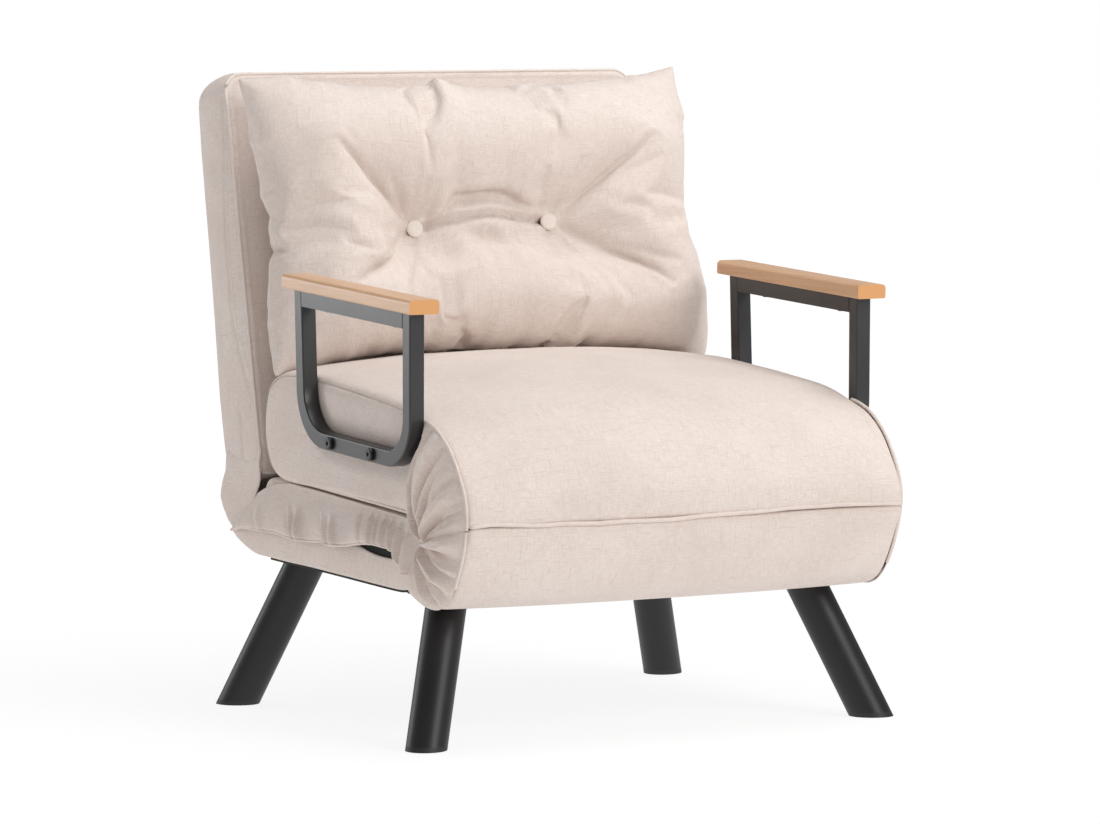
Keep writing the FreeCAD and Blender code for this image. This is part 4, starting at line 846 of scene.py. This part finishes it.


# ---- cloth from the backrest's foot down to the base, round three sides
def makeRearCloth():
    shape = {"half": 299.0, "rows": 40, "corner": 16.0, "front": 557.0, "low": -89, "high": 34}
    # Its rear line: how high, how far back
    rear = [
        (-89, 622), (-84, 636), (-70, 657), (-56, 668), (-42, 675), (-24, 672), (-6, 664), (10, 665),
        (22, 666), (34, 668),
    ]
    places, weave = [], []
    for z in np.linspace(shape["low"], shape["high"], shape["rows"]):
        farthest = np.interp(z, *np.transpose(rear))
        nearest = shape["front"] + max(0.0, -12 - z) * 0.62 + max(0.0, z) * 0.25
        half, corner = shape["half"] - 4.0 * ease((z - 8) / 24), shape["corner"]
        path = [(-half, y) for y in np.linspace(nearest, farthest - corner, 26)]
        for a in np.linspace(0.15, math.pi / 2, 8):
            path.append((-half + corner * (1 - math.cos(a)), farthest - corner * (1 - math.sin(a))))
        path += [(x, farthest) for x in np.linspace(-half + corner, 0, 36)[1:]]
        path = np.array(path + [(-x, y) for x, y in path[-2::-1]])
        row = np.column_stack([path, np.full(len(path), z)])
        free = math.sin(math.pi * (z - shape["low"]) / (shape["high"] - shape["low"]))
        side = np.abs(path[:, 0]) > half - 3
        puff = sway(row, 46.0, 3.4) * free + 2.4 * free
        row[:, 0] += np.where(side, np.sign(path[:, 0]) * np.clip(puff, 0, 5), 0)
        row[:, 1] += np.where(side, 0, sway(row, 60.0, 5.0, 3.0) * free)
        places.append(row)
        weave.append(np.column_stack([runLength(path), np.full(len(path), z)]) / 1000)
    cloth, area = hung("rearCloth", [panel(places, weave)], 0.0014, linen)
    low, high = deck @ Vector((0, 0.62, -0.085)), deck @ Vector((0, 0.64, 0.02))
    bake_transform(cloth)
    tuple(low)
    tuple(high)
    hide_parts("base_cover_rear")


makeRearCloth()


# ---- strip folded into the crevice between base and backrest
def makeBridge():
    shape = {"half": 262, "columns": 60, "steps": 4}
    spots = [(554, -3), (554.6, -20), (558, -38), (561, -38), (563.4, -20), (564, 1)]
    line = through(spots, [shape["steps"]] * 5, closed=False)
    run = runLength(line)
    xs = np.linspace(-shape["half"], shape["half"], shape["columns"])
    places = [np.column_stack([xs, np.full(len(xs), y), np.full(len(xs), z)]) for y, z in line]
    weave = [np.column_stack([xs, np.full(len(xs), along)]) / 1000 for along in run]
    bridge, area = hung("bridgeCloth", [panel(places, weave)], 0.001, linen, weld=0.00005)
    near, far = deck @ Vector((0, 0.554, -0.015)), deck @ Vector((0, 0.564, -0.015))
    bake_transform(bridge)
    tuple(near)
    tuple(far)


makeBridge()
print("skirt and rear cloth made")


# ---- backrest: a boxed slab, thicker at its middle and bottom, with a seam round its gusset
def makeBackrest():
    shape = {
        "half": 297.5, "bottom": 38, "top": 553, "corner": 26, "foot": 0.3, "columns": 340, "edge": 9.0,
        "round": 8, "frontSwell": 4.0, "rearSwell": 3.0, "bulge": 3.5, "groove": 2.4, "lowGroove": 2.0,
        "ridge": 1.2,
    }
    mid = (shape["bottom"] + shape["top"]) / 2
    outline = []
    for right, high, first in ((1, 1, 0), (-1, 1, 90), (-1, 0, 180), (1, 0, 270)):
        size = shape["corner"] * (1 if high else shape["foot"])
        cx, cz = right * (shape["half"] - size), shape["top"] - size if high else shape["bottom"] + size
        turns = np.radians(first + np.arange(0, 91, 10))
        outline += list(zip(cx + size * np.cos(turns), cz + size * np.sin(turns)))
    closed = np.array(outline + outline[:1])
    run = runLength(closed)
    even = np.linspace(0, run[-1], shape["columns"], endpoint=False)
    loop = np.column_stack([np.interp(even, run, closed[:, k]) for k in (0, 1)])
    perimeter = np.linspace(0, run[-1], shape["columns"] + 1) / 1000
    centre, normal, up = np.array([0.0, mid]), outward(loop), loop[:, 1]
    # Height and place of the rear face, and of the gusset's two seams
    rearFace = [
        (36, -72), (59, -67), (92, -69), (149, -70), (251, -64), (322, -61), (393, -59), (464, -57),
        (521, -53), (548, -46),
    ]
    seam = [
        (40, 36), (90, 35), (135, 33), (182, 18), (241, 5), (311, 3), (381, 9), (450, 20), (520, 28),
        (553, 30),
    ]
    lowSeam = [(10, -20), (73, -2), (124, 2), (160, -30), (553, -30)]
    seamAt, lowSeamAt = [np.interp(up, *np.transpose(line)) for line in (seam, lowSeam)]

    def front(high):
        return 39 - 3.0 * ease((high - 470) / 90) - 2.0 * ease((90 - high) / 60)

    def rear(high):
        return np.interp(high, *np.transpose(rearFace)) + 2.0

    def faceRow(out, isFront):
        flat = centre + (loop - normal * shape["edge"] - centre) * out
        high = flat[:, 1]
        if isFront:
            forward = front(high) + shape["frontSwell"] * (1 - out ** 4)
        else:
            forward = rear(high) - shape["rearSwell"] * (1 - out ** 3)
        forward = forward + flatSway(flat, 95.0, 1.8, 2.0 if isFront else 9.0) * (1 - out ** 6)
        return flat, forward, np.vstack([flat, flat[:1]]) / 1000

    def edgeRow(turn, isFront):
        flat = loop - normal * (shape["edge"] * (1 - math.sin(turn)))
        drop = shape["round"] * (1 - math.cos(turn))
        forward = front(up) - drop if isFront else rear(up) + drop
        return flat, forward, np.column_stack([perimeter, np.append(forward, forward[0]) / 1000])

    def gussetRow(share):
        first, last = front(up) - shape["round"], rear(up) + shape["round"]
        forward = first + (last - first) * share
        groove = shape["groove"] * np.exp(-((forward - seamAt) / 2.2) ** 2)
        groove += shape["lowGroove"] * np.exp(-((forward - lowSeamAt) / 2.4) ** 2) * ease((150 - up) / 30)
        ridge = shape["ridge"] * np.exp(-((forward - seamAt - 4.5) / 3.0) ** 2)
        middle = math.sin(math.pi * share)
        ripple = sway(np.column_stack([loop[:, 0] * 0.2, up, forward]), 42.0, 2.6) * middle
        bulge = shape["bulge"] * middle ** 0.7
        flat = loop + normal * (bulge - groove + ridge + ripple)[:, None]
        return flat, forward, np.column_stack([perimeter, np.append(forward, forward[0]) / 1000])

    outs = np.concatenate([np.linspace(0, 0.86, 26), np.linspace(0.88, 0.985, 9)])
    turns = np.radians(np.linspace(0, 90, 6))
    rows = [faceRow(out, True) for out in outs] + [edgeRow(turn, True) for turn in turns]
    rows += [gussetRow(share) for share in np.linspace(0.04, 0.96, 30)]
    rows += [edgeRow(turn, False) for turn in turns[::-1]]
    outs = np.concatenate([np.linspace(0, 0.86, 22), np.linspace(0.88, 0.985, 6)])
    rows += [faceRow(out, False) for out in outs[::-1]]
    places = [leaning(flat[:, 0], forward, flat[:, 1]) for flat, forward, _ in rows]
    slab = sewn("backrestPad", [panel(places, [row[2] for row in rows], True, back)])
    dressed(slab, linen, "backrest", ["back_cushion", "back_rear_pad"])

    # Piping round the front face, dressed in the lighter linen: a painted highlight along it
    inner = loop - normal * 2.0
    piping = leaning(inner[:, 0], front(up) - 2.5, inner[:, 1])
    welt = sewn("backWelt", [weltPanel(inRoom(piping, back), 0.0021, closed=True)], weld=0.00005)
    dressed(welt, highlightLinen, "backrest")
    return slab


print("backrest made:", len(makeBackrest().data.polygons), "faces")


# Sharp creases that the coarse cloth can't form: between the buttons and out from each of them
def creasePillow(pillow, buttons):
    left, right = buttons
    fans = {  # from each button: through, to, how deep, how wide
        left: [
            ((-128, 368), (-152, 404), 5.0, 4.5),
            ((-95, 385), (-84, 446), 3.4, 6.0),
            ((-110, 372), (-112, 418), 2.6, 4.5),
            ((-132, 312), (-164, 288), 4.2, 4.5),
            ((-106, 296), (-114, 262), 3.6, 4.5),
            ((-160, 326), (-228, 316), 2.6, 5.0),
        ],
        right: [
            ((112, 368), (142, 412), 4.6, 5.0),
            ((136, 350), (182, 360), 2.4, 5.0),
            ((138, 312), (196, 288), 4.8, 5.0),
            ((122, 284), (152, 226), 4.2, 5.5),
            ((88, 300), (84, 270), 2.4, 4.5),
        ],
    }
    creases = [(left, (-6, 342), right, 13.0, 4.6)]
    creases += [(button, *crease) for button, fan in fans.items() for crease in fan]
    inverse = np.array(back.inverted())
    room = np.array([vertex.co for vertex in pillow.data.vertices])
    local = (room @ inverse[:3, :3].T + inverse[:3, 3]) * 1000
    x, ahead, up = local[:, 0], -local[:, 1], local[:, 2]
    flat = np.column_stack([x, up])
    between = ease((x + 96) / 26) * ease((86 - x) / 26)
    # Fuller between the tufts
    push = 11.0 * between * np.exp(-((up - 338) / np.where(up > 338, 40, 26)) ** 2)
    for start, middle, end, deep, wide in creases:
        line = through([start, middle, end], [24, 24], closed=False)
        gaps = np.linalg.norm(flat[:, None, :] - line[None, :, :], axis=2)
        nearest = gaps.argmin(1)
        gap, share = gaps[np.arange(len(x)), nearest], nearest / (len(line) - 1)
        fade, lip = (1 - share) ** 0.8, 1.0
        if end == right:
            fade, lip = 1.0, np.where(up > line[nearest][:, 1], 1, 0.3)
        push -= deep * fade * np.exp(-(gap / wide) ** 2)
        push += deep * 0.35 * fade * np.exp(-((gap - 2.2 * wide) / (1.2 * wide)) ** 2) * lip
    ahead = ahead + push * ease((ahead - 110) / 12)
    pillow.data.vertices.foreach_set("co", inRoom(leaning(x, ahead, up), back).astype(np.float32).ravel())


# ---- pillow: two flat panels sewn at the edge, blown up by a cloth simulation and held at two tufts
def makePillow():
    shape = {
        "cut": (0.668, 0.430), "grid": (116, 76), "puff": 0.020, "tuft": 0.108, "held": 0.0085,
        "near": 0.009, "deep": {"front": -0.026, "rear": 0.030}, "frames": 46,
        "buttons": ((-102, 329), (91, 334)), "seam": 118.0, "rest": 44.2, "front": 76.0, "softly": 14,
        "reach": 75,
    }
    (nx, nz), (width, height) = shape["grid"], shape["cut"]
    verts, cloth, index = [], [], {}
    for layer, sign in (("front", -1), ("rear", 1)):
        for j, v in enumerate(np.linspace(-1, 1, nz)):
            for i, u in enumerate(np.linspace(-1, 1, nx)):
                if layer == "rear" and (i in (0, nx - 1) or j in (0, nz - 1)):
                    index[layer, i, j] = index["front", i, j]  # sewn together along the edge
                    continue
                puff = shape["puff"] * (1 - u ** 6) * (1 - v ** 6)
                index[layer, i, j] = len(verts)
                verts.append((u * width / 2, sign * puff, v * height / 2))
                cloth.append((u * width / 2, v * height / 2 + (0 if layer == "front" else 0.7)))
    faces = []
    for layer in ("front", "rear"):
        for j in range(nz - 1):
            for i in range(nx - 1):
                quad = [index[layer, a, b] for a, b in ((i, j), (i + 1, j), (i + 1, j + 1), (i, j + 1))]
                faces.append(quad if layer == "front" else quad[::-1])
    mesh = bpy.data.meshes.new("pillow")
    mesh.from_pydata(verts, [], faces)
    uvs = mesh.uv_layers.new(name="cloth")
    uvs.data.foreach_set("uv", np.array(cloth)[np.array(faces).ravel()].astype(np.float32).ravel())
    pillow = bpy.data.objects.new("backPillow", mesh)
    bpy.context.scene.collection.objects.link(pillow)
    held = pillow.vertex_groups.new(name="tufts")
    flat = np.array(verts)
    fromTuft = [np.hypot(flat[:, 0] - sign * shape["tuft"], flat[:, 2]) for sign in (-1, 1)]
    for (layer, i, j), k in index.items():
        if min(away[k] for away in fromTuft) < shape["held"]:
            held.add([k], 1.0, "REPLACE")
            mesh.vertices[k].co.y = shape["deep"][layer]
    inHand(pillow)
    blow = pillow.modifiers.new("cloth", "CLOTH")
    settings = blow.settings
    settings.quality = 7
    settings.mass = 0.25
    settings.tension_stiffness = 22
    settings.compression_stiffness = 14
    settings.shear_stiffness = 8
    settings.bending_stiffness = 0.35
    settings.air_damping = 1.5
    settings.use_pressure = True
    settings.uniform_pressure_force = 7.0
    settings.effector_weights.gravity = 0
    settings.vertex_group_mass = "tufts"
    settings.shrink_min = -0.02
    blow.collision_settings.use_collision = False
    blow.point_cache.frame_start, blow.point_cache.frame_end = 1, shape["frames"]
    for step in range(1, shape["frames"] + 1):
        bpy.context.scene.frame_set(step)
    bpy.ops.object.modifier_apply(modifier="cloth")
    bpy.context.scene.frame_set(1)
    co = np.array([vertex.co for vertex in pillow.data.vertices]) * 1000
    print("pillow blown to", np.round(co.min(0)), np.round(co.max(0)))

    # The blown edge is laid on the pillow's outline and what lies between follows
    edges = {
        "left": [
            (-306, 150), (-307, 169), (-303, 224), (-297, 266), (-288, 305), (-284, 321), (-289, 369),
            (-297, 414), (-305, 464), (-314, 506), (-319, 530),
        ],
        "right": [
            (323, 157), (327, 180), (326, 220), (321, 270), (312, 310), (301, 348), (309, 395),
            (313, 440), (314, 490), (314, 520), (316, 541),
        ],
        "low": [
            (-306, 150), (-269, 156), (-212, 167), (-155, 174), (-55, 175), (46, 172), (120, 172),
            (164, 170), (253, 163), (323, 157),
        ],
        "high": [
            (-319, 530), (-276, 531), (-224, 526), (-156, 518), (-68, 515), (24, 514), (90, 515),
            (144, 517), (264, 529), (316, 541),
        ],
    }
    cutPlace = flat[:, [0, 2]] / [width / 2, height / 2]
    moves = {}
    for name, axis, value in (("left", 1, -1), ("right", 1, 1), ("low", 0, -1), ("high", 0, 1)):
        fine = through(edges[name], stepsFor(edges[name], 4, closed=False), closed=False)
        run = runLength(fine) / runLength(fine)[-1]
        own = np.flatnonzero(np.abs(cutPlace[:, 1 - axis] - value) < 1e-6)
        own = own[np.argsort(cutPlace[own, axis])]
        at = (cutPlace[own, axis] + 1) / 2
        wanted = np.column_stack([np.interp(at, run, fine[:, c]) for c in (0, 1)])
        gathers = flatSway(wanted, 19.0, 4.5 if name == "low" else 1.4, 4.0)
        wanted[:, 1 - axis] += gathers * np.sin(math.pi * at) ** 0.3
        moves[name] = (at, wanted - co[own][:, [0, 2]])
    right, high = ((cutPlace + 1) / 2).T
    left, low = 1 - right, 1 - high

    def along(name, at, share):
        ats, move = moves[name]
        return np.column_stack([np.interp(at, ats, move[:, c]) for c in (0, 1)]) * share[:, None]

    move = along("left", high, left) + along("right", high, right)
    move += along("low", right, low) + along("high", right, high)
    for name, rise in (("low", low), ("high", high)):
        for end, share in ((0, left * rise), (-1, right * rise)):
            move -= moves[name][1][end] * share[:, None]
    x, up, ahead = co[:, 0] + move[:, 0], co[:, 2] + move[:, 1], -co[:, 1]
    ahead = ahead * shape["front"] / ahead.max()
    ahead = shape["seam"] + np.where(ahead < 0, ahead * 0.95, ahead)
    soft = shape["rest"] + shape["softly"]
    pressed = shape["rest"] + shape["softly"] * np.exp((ahead - soft) / shape["softly"])
    ahead = np.where(ahead < soft, pressed, ahead)  # flattened against the backrest
    tufts = [(away < shape["near"]) & (flat[:, 1] < 0) for away in fromTuft]
    for near, goal in zip(tufts, shape["buttons"]):
        here = np.array([x[near].mean(), up[near].mean()])
        reach = np.exp(-((x - here[0]) ** 2 + (up - here[1]) ** 2) / shape["reach"] ** 2)
        x, up = x + (goal[0] - here[0]) * reach, up + (goal[1] - here[1]) * reach
    placed = inRoom(leaning(x, ahead, up), back)
    pillow.data.vertices.foreach_set("co", placed.astype(np.float32).ravel())
    inHand(pillow)
    smooth = pillow.modifiers.new("smooth", "SUBSURF")
    smooth.levels = smooth.render_levels = 1
    bpy.ops.object.modifier_apply(modifier="smooth")
    creasePillow(pillow, shape["buttons"])
    pillow.data.polygons.foreach_set("use_smooth", [True] * len(pillow.data.polygons))
    dressed(pillow, linen, "pillow", ["pillow"])
    print("pillow made:", len(pillow.data.polygons), "faces")
    return [placed[near].mean(0) for near in tufts]


# ---- covered buttons, set where the simulation left the tufts
def makeButtons(tufts):
    shape = {"radius": 11.0, "dome": 3.6, "rings": 12, "stand": 0.0045}
    around = np.linspace(0, 2 * math.pi, 48, endpoint=False)
    outs = np.sin(np.linspace(0, math.pi / 2, shape["rings"]))
    profile = [(out, shape["dome"] * math.sqrt(1 - (out * 0.98) ** 2)) for out in outs]
    profile += [(1.0, 0.1), (1.0, -1.5), (0.93, -3.2), (0.6, -4.4), (0.0, -4.6)]
    rings, weave = [], []
    for out, high in profile:
        wide = out * shape["radius"]
        ring = np.stack([np.cos(around) * wide, np.full(len(around), -high), np.sin(around) * wide], 1)
        rings.append(ring)
        weave.append(np.vstack([ring, ring[:1]])[:, [0, 2]] / 1000 + 0.4)
    turn = np.array(back)[:3, :3]
    shell = np.array(rings) @ turn.T / 1000 - turn[:, 1] * shape["stand"]
    buttons = sewn("pillowButtons", [(shell + tuft, np.array(weave), True) for tuft in tufts],
                   weld=0.00002)
    # Dressed in the lighter linen: a painted highlight on the buttons
    dressed(buttons, highlightLinen, "pillow", ["pillow_buttons"])


makeButtons(makePillow())
